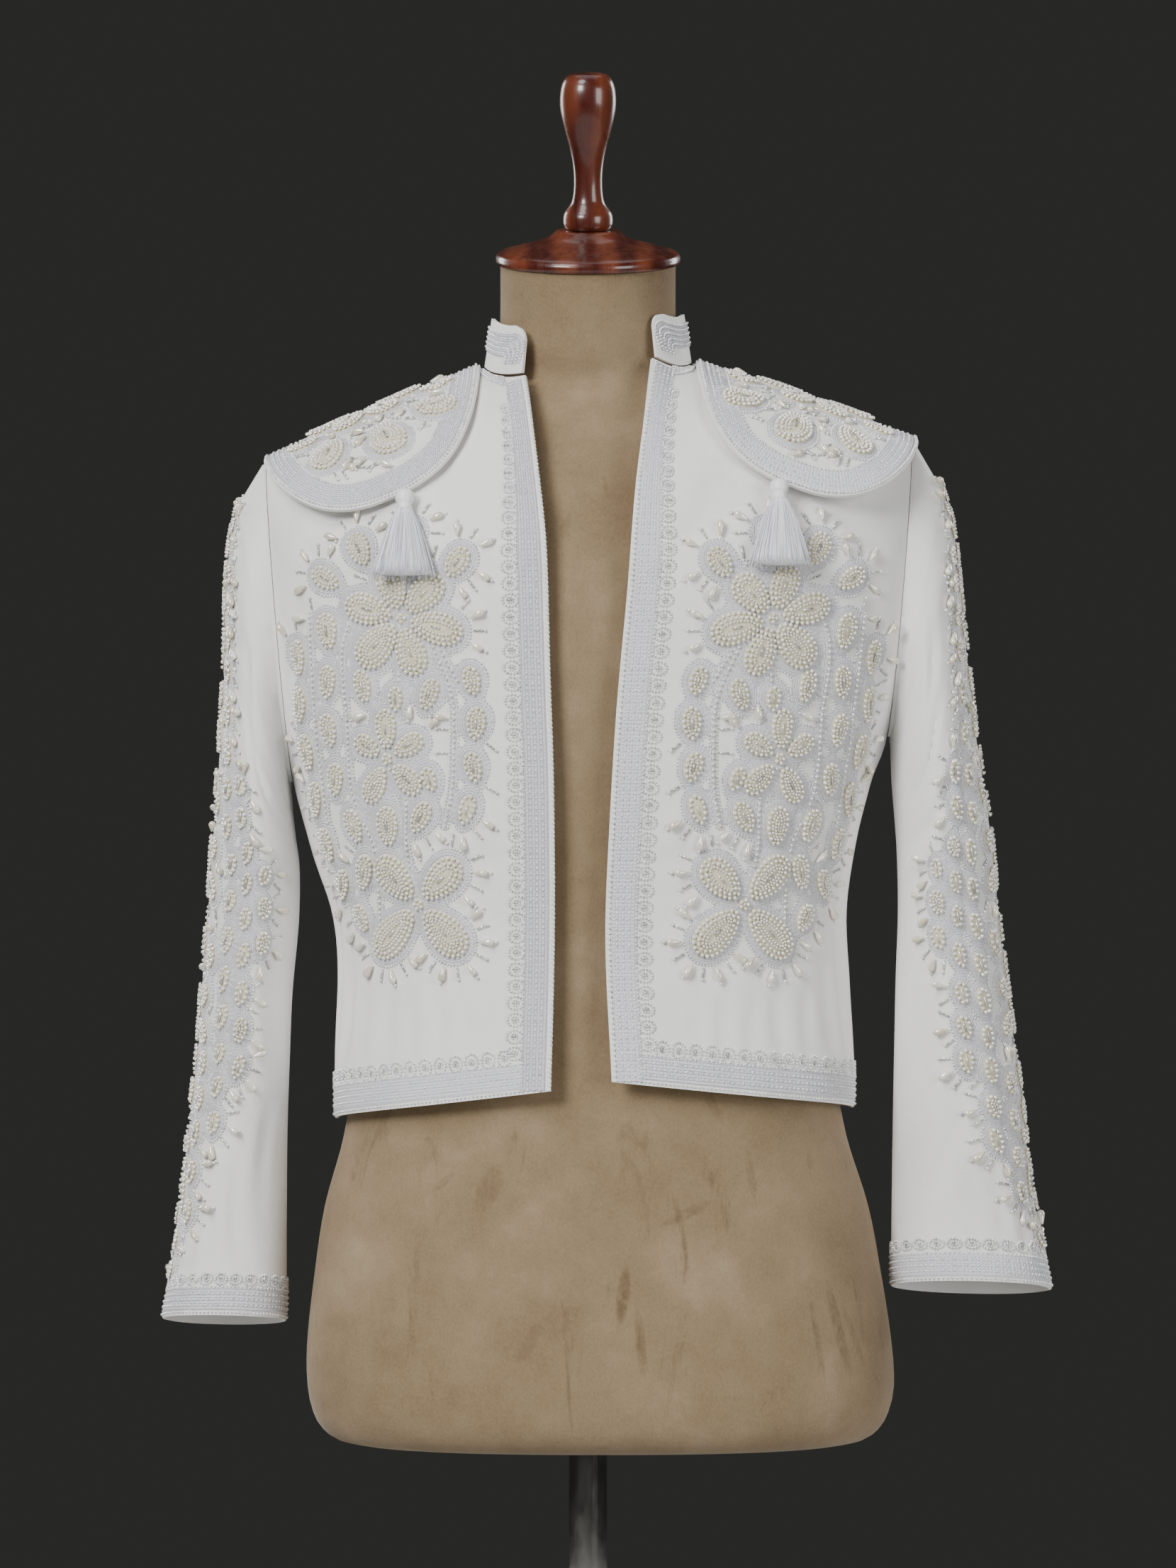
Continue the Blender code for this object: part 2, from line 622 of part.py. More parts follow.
def form_ring(height, spokes):
    half, front = FORM.at(height, "half_width"), FORM.at(height, "front")
    back, sway, slant, power = (FORM.at(height, name) for name in ("back", "sway", "slant", "power"))
    ring = []
    for i in range(spokes):
        turn = 2 * math.pi * i / spokes
        c, s = math.cos(turn), math.sin(turn)
        x = half * math.copysign(abs(c) ** power, c)
        y = (back if s > 0 else front) * math.copysign(abs(s) ** power, s)
        ring.append(Vector((x + sway, y, height + slant * y)))
    return ring


def make_form(finishes):
    def build(made):
        rings = [[made.verts.new(p) for p in form_ring(row[0], 26)] for row in FORM.rows]
        strip_faces(made, rings, closed=True)
        made.faces.new(rings[0])
        made.faces.new(rings[-1])

    add_object("dress_form", mesh_from("dress_form", build), finishes["suede"])


def away_from_middle(here):
    return Vector((here.x, here.y, max(0.0, here.z - CHEST_LINE)))


FRONT_COLUMNS = (0.0, 0.05, 0.10, 0.155, 0.22, 0.31, 0.41, 0.51, 0.62, 0.74, 0.87, 1.0)
BACK_COLUMNS = tuple(i / 9 for i in range(10))


def make_fronts(finishes):
    for side in SIDES:
        rows = [[panel_point(side, "front", s, up) for s in FRONT_COLUMNS]
                for up in panel_rows(side, "front")]
        sheet("front_" + side, rows, CLOTH, finishes["cloth"], away_from_middle)


def back_point(across, level):
    """A point of the back: across runs from -1 at the right side to 1 at the left."""
    side = "left" if across >= 0 else "right"
    share = (across + 1) / 2
    right, left = panel_rows("right", "back")[level], panel_rows("left", "back")[level]
    return panel_point(side, "back", abs(across), mix(right, left, share))


def make_back(finishes):
    columns = [-s for s in BACK_COLUMNS[:0:-1]] + list(BACK_COLUMNS)
    levels = range(len(panel_rows("right", "back")))
    rows = [[back_point(s, level) for s in columns] for level in levels]
    sheet("back", rows, CLOTH, finishes["cloth"], away_from_middle)


def make_sleeves(finishes):
    for side, sign in SIDES.items():
        rows = [[sleeve_point(side, ring, 2 * math.pi * i / SLEEVE_SPOKES) for i in range(SLEEVE_SPOKES)]
                for ring in SLEEVE_RINGS]
        sheet("sleeve_" + side, rows, CLOTH, finishes["cloth"],
              lambda here: Vector((here.x - sign * 0.235, here.y, 0)), closed=True)


def collar_point(turn, rise):
    """The collar's outer face. turn is 0 at the centre back; rise runs 0 to 1."""
    side = "left" if turn > 0 else "right"
    front_turn = math.radians(180 - COLLAR_FRONT_ANGLE[side])
    corner = COLLAR_CORNER / NECK_HALF_WIDTH
    low = max(0.0, 1 - COLLAR_CORNER / COLLAR_HEIGHT)
    cut = max(0.0, (rise - low) / (1 - low))
    end = front_turn - corner * (1 - math.sqrt(max(0.0, 1 - cut * cut)))
    angle = turn * end
    face = "back" if abs(angle) < math.pi / 2 else "front"
    blend = ease((abs(angle) - math.radians(70)) / math.radians(40))
    reach = mix(NECK_REACH["back", side], NECK_REACH["front", side], blend)
    lean = COLLAR_LEAN * rise
    x = (NECK_HALF_WIDTH - lean) * math.sin(angle)
    y = (reach - lean) * math.cos(angle)
    foot = neckline_height(side, face, abs(NECK_HALF_WIDTH * math.sin(angle)))
    return Vector((x, y, foot + COLLAR_SEAT + COLLAR_HEIGHT * rise))


def neckline_height(side, face, x):
    """Height of the panel's top edge at a distance x from the middle."""
    low, high = 0.0, 1.0
    for _ in range(30):
        middle = (low + high) / 2
        if panel_parts(side, face, middle, 2.0)[0] < x:
            low = middle
        else:
            high = middle
    return panel_parts(side, face, low, 2.0)[2]


def make_collar(finishes):
    turns = [i / 14 for i in range(-14, 15)]
    rises = (0.0, 0.40, 0.68, 0.88, 1.0)
    rows = [[collar_point(turn, rise) for turn in turns] for rise in rises]
    sheet("collar", rows, COLLAR_WALL, finishes["cloth"], lambda here: Vector((here.x, here.y, 0)))


# The flaps: a stiff piece bent over the shoulder line

def flap_bend(across):
    """Forward reach and drop after a length across the flap from the shoulder line."""
    first, last = FLAP_BEND["front" if across > 0 else "back"]
    steps = 24
    length = abs(across) / steps
    reach = drop = 0.0
    for i in range(steps):
        part = (i + 0.5) * length / FLAP_HALF_DROP
        angle = math.radians(mix(first, last, part))
        reach += math.cos(angle) * length
        drop += math.sin(angle) * length
    return reach, drop


def flap_point(side, along, across):
    """Outer face of a flap: metres along the shoulder, and metres forward of its line."""
    sign = SIDES[side]
    start = Vector((FLAP_START, 0, ridge_height(side, FLAP_START) + FLAP_LIFT))
    end = Vector((SHOULDER[side]["x"], 0, SHOULDER[side]["z"] + FLAP_LIFT))
    line = (end - start).normalized()
    down = Vector((-abs(line.z), 0, -line.x))
    reach, drop = flap_bend(across)
    place = start + line * along + down * drop
    return Vector((sign * place.x, -math.copysign(reach, across), place.z))


def flap_outline(share, turn):
    """A point of the flap's outline, drawn in by a share of its size."""
    c, s = math.cos(turn), math.sin(turn)
    power = 2 / FLAP_CORNER_POWER
    along = FLAP_LENGTH / 2 * math.copysign(abs(c) ** power, c)
    across = FLAP_HALF_DROP * math.copysign(abs(s) ** power, s)
    skew = FLAP_SKEW * (abs(across) / FLAP_HALF_DROP)
    return FLAP_LENGTH / 2 + (along + skew) * share, across * share


def flap_chart(side):
    def point(along, across):
        return flap_point(side, along, across)

    sign = SIDES[side]
    hub = Vector((sign * 0.140, 0, 1.02))
    return Chart(point, lambda here: here - hub)


FLAP_SPOKES = 30
FLAP_SHARES = (0.30, 0.58, 0.80, 1.0)


def ring_points(chart, share, lift, inset=0.0):
    points = []
    for i in range(FLAP_SPOKES):
        turn = 2 * math.pi * i / FLAP_SPOKES
        along, across = flap_outline(share, turn)
        size = math.hypot(along - FLAP_LENGTH / 2, across)
        keep = (size - inset) / size
        points.append(chart.at(FLAP_LENGTH / 2 + (along - FLAP_LENGTH / 2) * keep, across * keep, lift))
    return points


def make_flaps(finishes):
    for side in SIDES:
        chart = flap_chart(side)
        made = bmesh.new()
        hub = made.verts.new(chart.at(FLAP_LENGTH / 2, 0.0, 0.0))
        rings = [[made.verts.new(p) for p in ring_points(chart, share, 0.0)] for share in FLAP_SHARES]
        for i in range(FLAP_SPOKES):
            made.faces.new((hub, rings[0][i], rings[0][(i + 1) % FLAP_SPOKES]))
        strip_faces(made, rings, closed=True)
        bmesh.ops.recalc_face_normals(made, faces=made.faces)
        made.normal_update()
        made.faces.ensure_lookup_table()
        if made.faces[0].normal.z < 0:
            bmesh.ops.reverse_faces(made, faces=made.faces)
        mesh = bpy.data.meshes.new("flap_" + side)
        made.to_mesh(mesh)
        made.free()
        flap = add_object("flap_" + side, mesh, finishes["cloth"])
        wall = flap.modifiers.new("wall", "SOLIDIFY")
        wall.thickness = FLAP_WALL
        wall.offset = -1.0
        lift = FLAP_BRAID_GAP + BRAID_THICKNESS
        rows = [ring_points(chart, 1.0, lift, inset) for inset in (PIPING, PIPING + BRAID_WIDTH / 2,
                                                                  PIPING + BRAID_WIDTH)]
        hub_side = Vector((SIDES[side] * 0.140, 0, 1.02))
        sheet("flap_braid_" + side, rows, BRAID_THICKNESS, finishes["braid"],
              lambda here: here - hub_side, closed=True)


# Braid

def share_at(side, face, up, distance):
    """The share across a panel that lies a distance in from its front edge, along the cloth."""
    steps = 80
    walked = 0.0
    last = panel_point(side, face, 0.0, up)
    for i in range(1, steps + 1):
        here = panel_point(side, face, i / steps, up)
        piece = (here - last).length
        if walked + piece >= distance:
            return (i - 1 + (distance - walked) / piece) / steps
        walked += piece
        last = here
    return 1.0


def lifted_panel(side, face, across, up, lift):
    step = 0.004
    low, high = max(up - step, 0.0), min(up + step, 2.0)
    left, right = max(across - step, 0.0), min(across + step, 1.0)
    east = panel_point(side, face, right, up) - panel_point(side, face, left, up)
    north = panel_point(side, face, across, high) - panel_point(side, face, across, low)
    normal = east.cross(north).normalized()
    here = panel_point(side, face, across, up)
    if normal.dot(away_from_middle(here)) < 0:
        normal.negate()
    return here + normal * lift


def make_front_braids(finishes):
    lift = PETAL_GAP + BRAID_THICKNESS
    for side in SIDES:
        foot = PIPING / (CHEST_LINE - HEM[side]["front"])
        ups = [foot] + panel_rows(side, "front")[1:-1]
        rows = []
        for up in ups:
            shares = [share_at(side, "front", up, PIPING + BRAID_WIDTH * t) for t in (0.0, 0.5, 1.0)]
            rows.append([lifted_panel(side, "front", share, up, lift) for share in shares])
        sheet("front_braid_" + side, rows, BRAID_THICKNESS, finishes["braid"], away_from_middle)


def hem_track():
    """Stations along the hem, from the right front round the back to the left front."""
    track = []
    for side in ("right", "left"):
        start = share_at(side, "front", 0.03, PIPING + BRAID_WIDTH + 2 * SEAM_GAP)
        front = [start] + [s for s in FRONT_COLUMNS if s > start + 0.03]
        back = [("back", s) for s in BACK_COLUMNS[::-1]]
        half = [(side, "front", s) for s in front[:-1]] + [(side, face, s) for face, s in back]
        track += half if side == "right" else half[-2::-1]
    return track


def make_hem_braid(finishes):
    lift = LAY_GAP + BRAID_THICKNESS
    rows = []
    for inset in (PIPING, PIPING + BRAID_WIDTH / 2, PIPING + BRAID_WIDTH):
        row = []
        for side, face, across in hem_track():
            height = CHEST_LINE - hem_height(side, face, across)
            row.append(lifted_panel(side, face, across, inset / height, lift))
        rows.append(row)
    sheet("hem_braid", rows, BRAID_THICKNESS, finishes["braid"], away_from_middle)


def make_cuff_braids(finishes):
    for side, sign in SIDES.items():
        end = sleeve_point(side, SLEEVE_END, 0.0)
        length = (end - sleeve_point(side, SLEEVE_END - 1, 0.0)).length
        rows = []
        for inset in (PIPING, PIPING + BRAID_WIDTH / 2, PIPING + BRAID_WIDTH):
            ring = SLEEVE_END - inset / length
            rows.append([sleeve_point(side, ring, 2 * math.pi * i / SLEEVE_SPOKES,
                                      -(LAY_GAP + BRAID_THICKNESS)) for i in range(SLEEVE_SPOKES)])
        sheet("cuff_braid_" + side, rows, BRAID_THICKNESS, finishes["braid"],
              lambda here: Vector((here.x - sign * 0.265, here.y, 0)), closed=True)


# Padded petal groups

def petal_reach(petals, angle):
    """How far a petal group reaches in one direction, and the petals' own rays."""
    reach = PETAL_CORE
    for direction, length, width in petals:
        off = angle - math.radians(direction)
        c, s = math.cos(off), math.sin(off)
        if c > 0:
            h, w = length / 2, width / 2
            reach = max(reach, (2 * c / h) / (c * c / (h * h) + s * s / (w * w)))
    return reach


def petal_rise(petals, across, up):
    rise = 0.0
    for direction, length, width in petals:
        turn = math.radians(direction)
        along = across * math.cos(turn) + up * math.sin(turn)
        aside = -across * math.sin(turn) + up * math.cos(turn)
        inside = 1 - ((along - length / 2) / (length / 2)) ** 2 - (aside / (width / 2)) ** 2
        if inside > 0:
            rise = max(rise, math.sqrt(inside))
    return PETAL_EDGE + PETAL_HEIGHT * rise


def petal_group(name, chart, across, up, petals, finish, rays=RAYS):
    """A group of padded petals round one centre, laid on a panel."""
    def build(made):
        directions = [2 * math.pi * i / rays for i in range(rays)]

        def ring(share, top):
            verts = []
            for angle in directions:
                size = share * petal_reach(petals, angle)
                a, b = size * math.cos(angle), size * math.sin(angle)
                rise = petal_rise(petals, a, b) if top and share < 1 else PETAL_EDGE
                lift = PETAL_GAP + (rise if top else 0.0)
                verts.append(made.verts.new(chart.at(across + a, up + b, lift)))
            return verts

        upper, lower = [ring(0.55, True), ring(1.0, True)], [ring(0.55, False), ring(1.0, False)]
        strip_faces(made, [upper[0], upper[1], lower[1], lower[0]], closed=True)
        top = made.verts.new(chart.at(across, up, PETAL_GAP + PETAL_EDGE + PETAL_HEIGHT * 0.5))
        bottom = made.verts.new(chart.at(across, up, PETAL_GAP))
        for i in range(rays):
            j = (i + 1) % rays
            made.faces.new((top, upper[0][i], upper[0][j]))
            made.faces.new((bottom, lower[0][j], lower[0][i]))

    add_object(name, mesh_from(name, build), finish)


def make_petal_groups(finishes):
    for side in SIDES:
        front, sleeve, flap = front_chart(side), sleeve_chart(side), flap_chart(side)
        for label, across, height, petals in CHEST_FLOWERS:
            petal_group(f"chest_flower_{label}_{side}", front, across, height, petals, finishes["pearl"])
        for label, around, ring, petals in SLEEVE_FLOWERS:
            upside = [(-direction, length, width) for direction, length, width in petals]
            petal_group(f"sleeve_flower_{label}_{side}", sleeve, around, ring * RING_PITCH, upside,
                        finishes["pearl"], SLEEVE_RAYS)
        petal_group("flap_flower_" + side, flap, FLAP_FLOWER_ALONG, 0.0, CAPE, finishes["pearl"])


# Tassels

TASSEL_HEAD = ((0.35, 0.0), (0.85, 0.12), (1.0, 0.40), (0.95, 0.62), (0.80, 0.72), (0.84, 0.80), (1.0, 1.0))


def tassel(name, top, finish):
    """A head with strands drawn out of its underside."""
    made = bmesh.new()
    spokes = [(math.cos(2 * math.pi * i / TASSEL_SPOKES), math.sin(2 * math.pi * i / TASSEL_SPOKES))
              for i in range(TASSEL_SPOKES)]

    def ring(size, down):
        radius = TASSEL_HEAD_RADIUS * size
        return [made.verts.new((radius * c, radius * s, -TASSEL_HEAD_HEIGHT * down)) for c, s in spokes]

    rings = [ring(size, down) for size, down in TASSEL_HEAD]
    strip_faces(made, rings, closed=True)
    made.faces.new(rings[0])
    before = len(made.faces)
    root_rings = [rings[-1]] + [ring(1 - k / (TASSEL_RINGS + 0.6), 1.0) for k in range(1, TASSEL_RINGS + 1)]
    strip_faces(made, root_rings, closed=True)
    made.faces.ensure_lookup_table()
    roots = made.faces[before:]
    made.faces.new(root_rings[-1])
    bmesh.ops.recalc_face_normals(made, faces=made.faces)
    bmesh.ops.inset_individual(made, faces=roots, thickness=0.18 * MM)
    for index, root in enumerate(roots):
        centre = root.calc_center_median()
        grown = bmesh.ops.extrude_face_region(made, geom=[root])
        tips = [item for item in grown["geom"] if isinstance(item, bmesh.types.BMVert)]
        longer = 0.94 + 0.06 * math.cos(index * 2.4)
        end = Vector((centre.x / TASSEL_HEAD_RADIUS * TASSEL_SPREAD_X,
                      centre.y / TASSEL_HEAD_RADIUS * TASSEL_SPREAD_Y,
                      -TASSEL_HEAD_HEIGHT - TASSEL_SKIRT * longer))
        for tip in tips:
            tip.co = end + (tip.co - centre) * 1.1
        bmesh.ops.delete(made, geom=[root], context="FACES_ONLY")
    bmesh.ops.recalc_face_normals(made, faces=made.faces)
    mesh = bpy.data.meshes.new(name)
    made.to_mesh(mesh)
    made.free()
    piece = add_object(name, mesh, finish)
    piece.matrix_world = Matrix.Translation(top) @ Matrix.Rotation(math.radians(-TASSEL_LEAN), 4, "X")


def make_tassels(finishes):
    for side in SIDES:
        edge = flap_point(side, TASSEL_ALONG[side], FLAP_HALF_DROP)
        tassel("tassel_" + side, edge + Vector(TASSEL_SEAT), finishes["silk"])


def main():
    finishes = {
        "cloth": material("white_cloth", (0.80, 0.79, 0.77), 0.65),
        "braid": material("white_braid", (0.76, 0.76, 0.82), 0.55),
        "pearl": material("ivory_pearl", (0.80, 0.77, 0.68), 0.30),
        "silk": material("white_silk", (0.80, 0.80, 0.88), 0.40),
        "suede": material("tan_suede", (0.42, 0.35, 0.26), 0.90),
        "wood": material("red_brown_wood", (0.10, 0.02, 0.012), 0.18),
        "chrome": material("polished_steel", (0.62, 0.62, 0.60), 0.12, 1.0),
        "base": material("dark_painted_steel", (0.05, 0.05, 0.05), 0.40, 0.6)}
    make_stand(finishes)
    make_form(finishes)
    make_fronts(finishes)
    make_back(finishes)
    make_sleeves(finishes)
    make_collar(finishes)
    make_flaps(finishes)
    make_front_braids(finishes)
    make_hem_braid(finishes)
    make_cuff_braids(finishes)
    make_petal_groups(finishes)
    make_tassels(finishes)


for leftover in list(bpy.data.objects):
    bpy.data.objects.remove(leftover, do_unlink=True)
JACKET = bpy.data.collections.new("matador_jacket_on_dress_form")
bpy.context.scene.collection.children.link(JACKET)
main()
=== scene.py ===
"""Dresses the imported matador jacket: cloth, beads, braid, tassels, dress form and light.

Metres, +Z up, front towards -Y. The panels are the same surfaces as the solids', worked
out more finely, with creases added. All beads and cords are laid on those surfaces.
"""
import math
import random

import bmesh
import bpy
import numpy as np
from mathutils import Matrix, Vector


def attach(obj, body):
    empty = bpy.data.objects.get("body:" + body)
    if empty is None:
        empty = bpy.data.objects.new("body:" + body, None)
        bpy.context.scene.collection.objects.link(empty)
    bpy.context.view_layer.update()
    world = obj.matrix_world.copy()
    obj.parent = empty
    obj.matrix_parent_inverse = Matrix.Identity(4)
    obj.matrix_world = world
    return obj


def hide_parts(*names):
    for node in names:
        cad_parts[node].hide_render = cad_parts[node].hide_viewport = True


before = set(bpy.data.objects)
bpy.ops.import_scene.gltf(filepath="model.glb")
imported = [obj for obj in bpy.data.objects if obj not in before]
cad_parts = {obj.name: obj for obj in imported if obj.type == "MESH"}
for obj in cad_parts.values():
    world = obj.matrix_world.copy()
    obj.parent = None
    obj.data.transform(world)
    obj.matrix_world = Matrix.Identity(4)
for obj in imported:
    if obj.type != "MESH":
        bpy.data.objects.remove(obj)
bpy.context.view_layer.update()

MM = 0.001
SIDES = {"right": -1, "left": 1}

# Cloth walls and seams, as in the solids
CLOTH = 2.0 * MM
SEAM_HALF_GAP = 0.45 * MM
SEAM_GAP = 0.4 * MM

# Body of the jacket
CHEST_LINE = 0.985
SECTION_POWER = 0.85
SHOULDER_POWER = {"front": 1.22, "back": 0.95}
CENTRE_BACK_HEM = 0.600
HEM = {"right": {"front": 0.6245, "side": 0.5990}, "left": {"front": 0.6308, "side": 0.6065}}
SHOULDER = {"right": {"x": 0.2262, "z": 1.0600}, "left": {"x": 0.2275, "z": 1.0745}}
UNDERARM = {"right": {"x": 0.2075, "z": 0.8360}, "left": {"x": 0.2105, "z": 0.8680}}
ARM_REACH = {"front": 0.060, "back": 0.066}
NECK_HALF_WIDTH = 0.073
NECK_REACH = {("front", "right"): 0.072, ("front", "left"): 0.064,
              ("back", "right"): 0.068, ("back", "left"): 0.068}
NECK_HEIGHT = 1.128
NECK_TILT = 0.020
NECK_RISE = {"right": 0.0327, "left": 0.0463}
NECK_RISE_WIDTH = 0.055

# Stand collar
COLLAR_WALL = 2.4 * MM
COLLAR_SEAT = 2.2 * MM
COLLAR_HEIGHT = 0.034
COLLAR_LEAN = 0.0050
COLLAR_CORNER = 0.013
COLLAR_FRONT_ANGLE = {"right": 39.0, "left": 41.0}

# Shoulder flaps
FLAP_WALL = 3.0 * MM
FLAP_LIFT = 0.0055
FLAP_START = 0.0765
FLAP_LENGTH = 0.165
FLAP_HALF_DROP = 0.130
FLAP_BEND = {"front": (6.0, 59.0), "back": (0.0, 59.0)}
FLAP_CORNER_POWER = 2.5
FLAP_SKEW = 0.010

# Dress form and stand
NECK_TOP = 1.2010
CAP_TILT = 12.0
CAP_SEAT_GAP = 0.35 * MM

RING_PITCH = 0.0495
SLEEVE_END = 13
SLEEVE_STAND = 3.0 * MM

# The camera stands this far in front, level with the middle of the picture
CAMERA_DISTANCE = 4.0
CAMERA_HEIGHT = 0.8345
PICTURE_HEIGHT = 1.106
SENSOR = 36.0


class Table:
    """Sizes at a few stations, read in between along a smooth curve."""

    def __init__(self, columns, rows):
        self.columns = columns
        self.rows = rows

    def at(self, station, name):
        index = self.columns.index(name)
        rows = self.rows
        if station <= rows[0][0]:
            return rows[0][index]
        if station >= rows[-1][0]:
            return rows[-1][index]
        place = max(i for i, row in enumerate(rows) if row[0] <= station)

        def slope(i):
            low, high = max(i - 1, 0), min(i + 1, len(rows) - 1)
            return (rows[high][index] - rows[low][index]) / (rows[high][0] - rows[low][0])

        span = rows[place + 1][0] - rows[place][0]
        t = (station - rows[place][0]) / span
        a, b = rows[place][index], rows[place + 1][index]
        return ((2 * t**3 - 3 * t**2 + 1) * a + (t**3 - 2 * t**2 + t) * span * slope(place)
                + (-2 * t**3 + 3 * t**2) * b + (t**3 - t**2) * span * slope(place + 1))


BODY = Table(
    ("height", "half_width", "front", "back", "sway"),
    ((0.595, 0.1825, 0.126, 0.114, 0.0045),
     (0.640, 0.1828, 0.123, 0.111, 0.0045),
     (0.700, 0.1800, 0.119, 0.106, 0.0040),
     (0.745, 0.1812, 0.120, 0.106, 0.0010),
     (0.790, 0.1915, 0.124, 0.110, -0.0035),
     (0.836, 0.2035, 0.127, 0.116, -0.0040),
     (0.868, 0.2115, 0.128, 0.119, -0.0010),
     (0.920, 0.2115, 0.129, 0.121, 0.0),
     (0.985, 0.2115, 0.128, 0.121, 0.0)))

FRONT_EDGE = {
    "right": Table(("height", "x"), (
        (0.6245, 0.0255), (0.728, 0.0230), (0.835, 0.0235), (0.914, 0.0260),
        (0.995, 0.0284), (1.037, 0.0325), (1.085, 0.0400), (1.116, 0.0465))),
    "left": Table(("height", "x"), (
        (0.6308, 0.0163), (0.728, 0.0119), (0.808, 0.0148), (0.888, 0.0197),
        (0.967, 0.0269), (1.047, 0.0335), (1.090, 0.0410), (1.120, 0.0478)))}

SLEEVE_COLUMNS = ("ring", "outer_x", "outer_z", "inner_x", "inner_z", "front", "back", "pitch")
SLEEVE = {
    "right": Table(SLEEVE_COLUMNS, (
        (1, 0.2440, 1.0365, 0.2095, 0.8320, 0.0640, 0.0690, 0.0),
        (2, 0.2510, 1.0050, 0.2093, 0.8275, 0.0660, 0.0710, 0.0),
        (3, 0.2535, 0.9650, 0.2088, 0.8215, 0.0670, 0.0720, 0.0),
        (4, 0.2550, 0.9150, 0.2080, 0.8120, 0.0665, 0.0715, 0.0),
        (5, 0.2585, 0.8550, 0.2062, 0.7970, 0.0650, 0.0690, 0.0),
        (6, 0.2625, 0.8000, 0.2035, 0.7750, 0.0640, 0.0650, 0.0),
        (7, 0.2665, 0.7450, 0.2040, 0.7380, 0.0625, 0.0605, 0.0),
        (8, 0.2705, 0.6900, 0.2085, 0.6880, 0.0605, 0.0560, 0.0),
        (9, 0.2745, 0.6400, 0.2105, 0.6400, 0.0580, 0.0510, 0.0),
        (10, 0.2810, 0.5900, 0.2120, 0.5910, 0.0550, 0.0460, 0.001),
        (11, 0.2880, 0.5350, 0.2125, 0.5370, 0.0515, 0.0400, 0.003),
        (12, 0.2955, 0.4900, 0.2125, 0.4920, 0.0485, 0.0350, 0.005),
        (13, 0.3005, 0.4580, 0.2130, 0.4565, 0.0475, 0.0325, 0.007))),
    "left": Table(SLEEVE_COLUMNS, (
        (1, 0.2465, 1.0475, 0.2130, 0.8640, 0.0635, 0.0690, 0.0),
        (2, 0.2555, 1.0170, 0.2135, 0.8590, 0.0655, 0.0710, 0.0),
        (3, 0.2600, 0.9780, 0.2138, 0.8510, 0.0665, 0.0720, 0.0),
        (4, 0.2655, 0.9250, 0.2143, 0.8350, 0.0665, 0.0715, 0.0),
        (5, 0.2725, 0.8650, 0.2160, 0.8130, 0.0650, 0.0690, 0.0),
        (6, 0.2815, 0.8050, 0.2180, 0.7830, 0.0630, 0.0650, 0.0),
        (7, 0.2870, 0.7500, 0.2187, 0.7430, 0.0605, 0.0600, 0.0),
        (8, 0.2935, 0.6950, 0.2170, 0.6930, 0.0575, 0.0550, 0.0),
        (9, 0.3005, 0.6450, 0.2160, 0.6450, 0.0540, 0.0495, 0.0),
        (10, 0.3070, 0.5950, 0.2150, 0.5970, 0.0500, 0.0440, 0.001),
        (11, 0.3145, 0.5450, 0.2143, 0.5480, 0.0450, 0.0385, 0.003),
        (12, 0.3230, 0.5050, 0.2138, 0.5080, 0.0410, 0.0340, 0.005),
        (13, 0.3270, 0.4785, 0.2138, 0.4810, 0.0385, 0.0320, 0.0075)))}

SLEEVE_FOLD_COLUMNS = ("ring", "turn", "length", "width", "depth")
SLEEVE_FOLDS = (
    (6.6, 75, 1.0, 26, 0.0040),
    (7.6, -70, 1.1, 30, 0.0045),
    (11.4, 20, 1.3, 22, 0.0030),
    (11.8, 95, 1.2, 26, 0.0030),
    (5.2, -120, 1.2, 30, 0.0040))

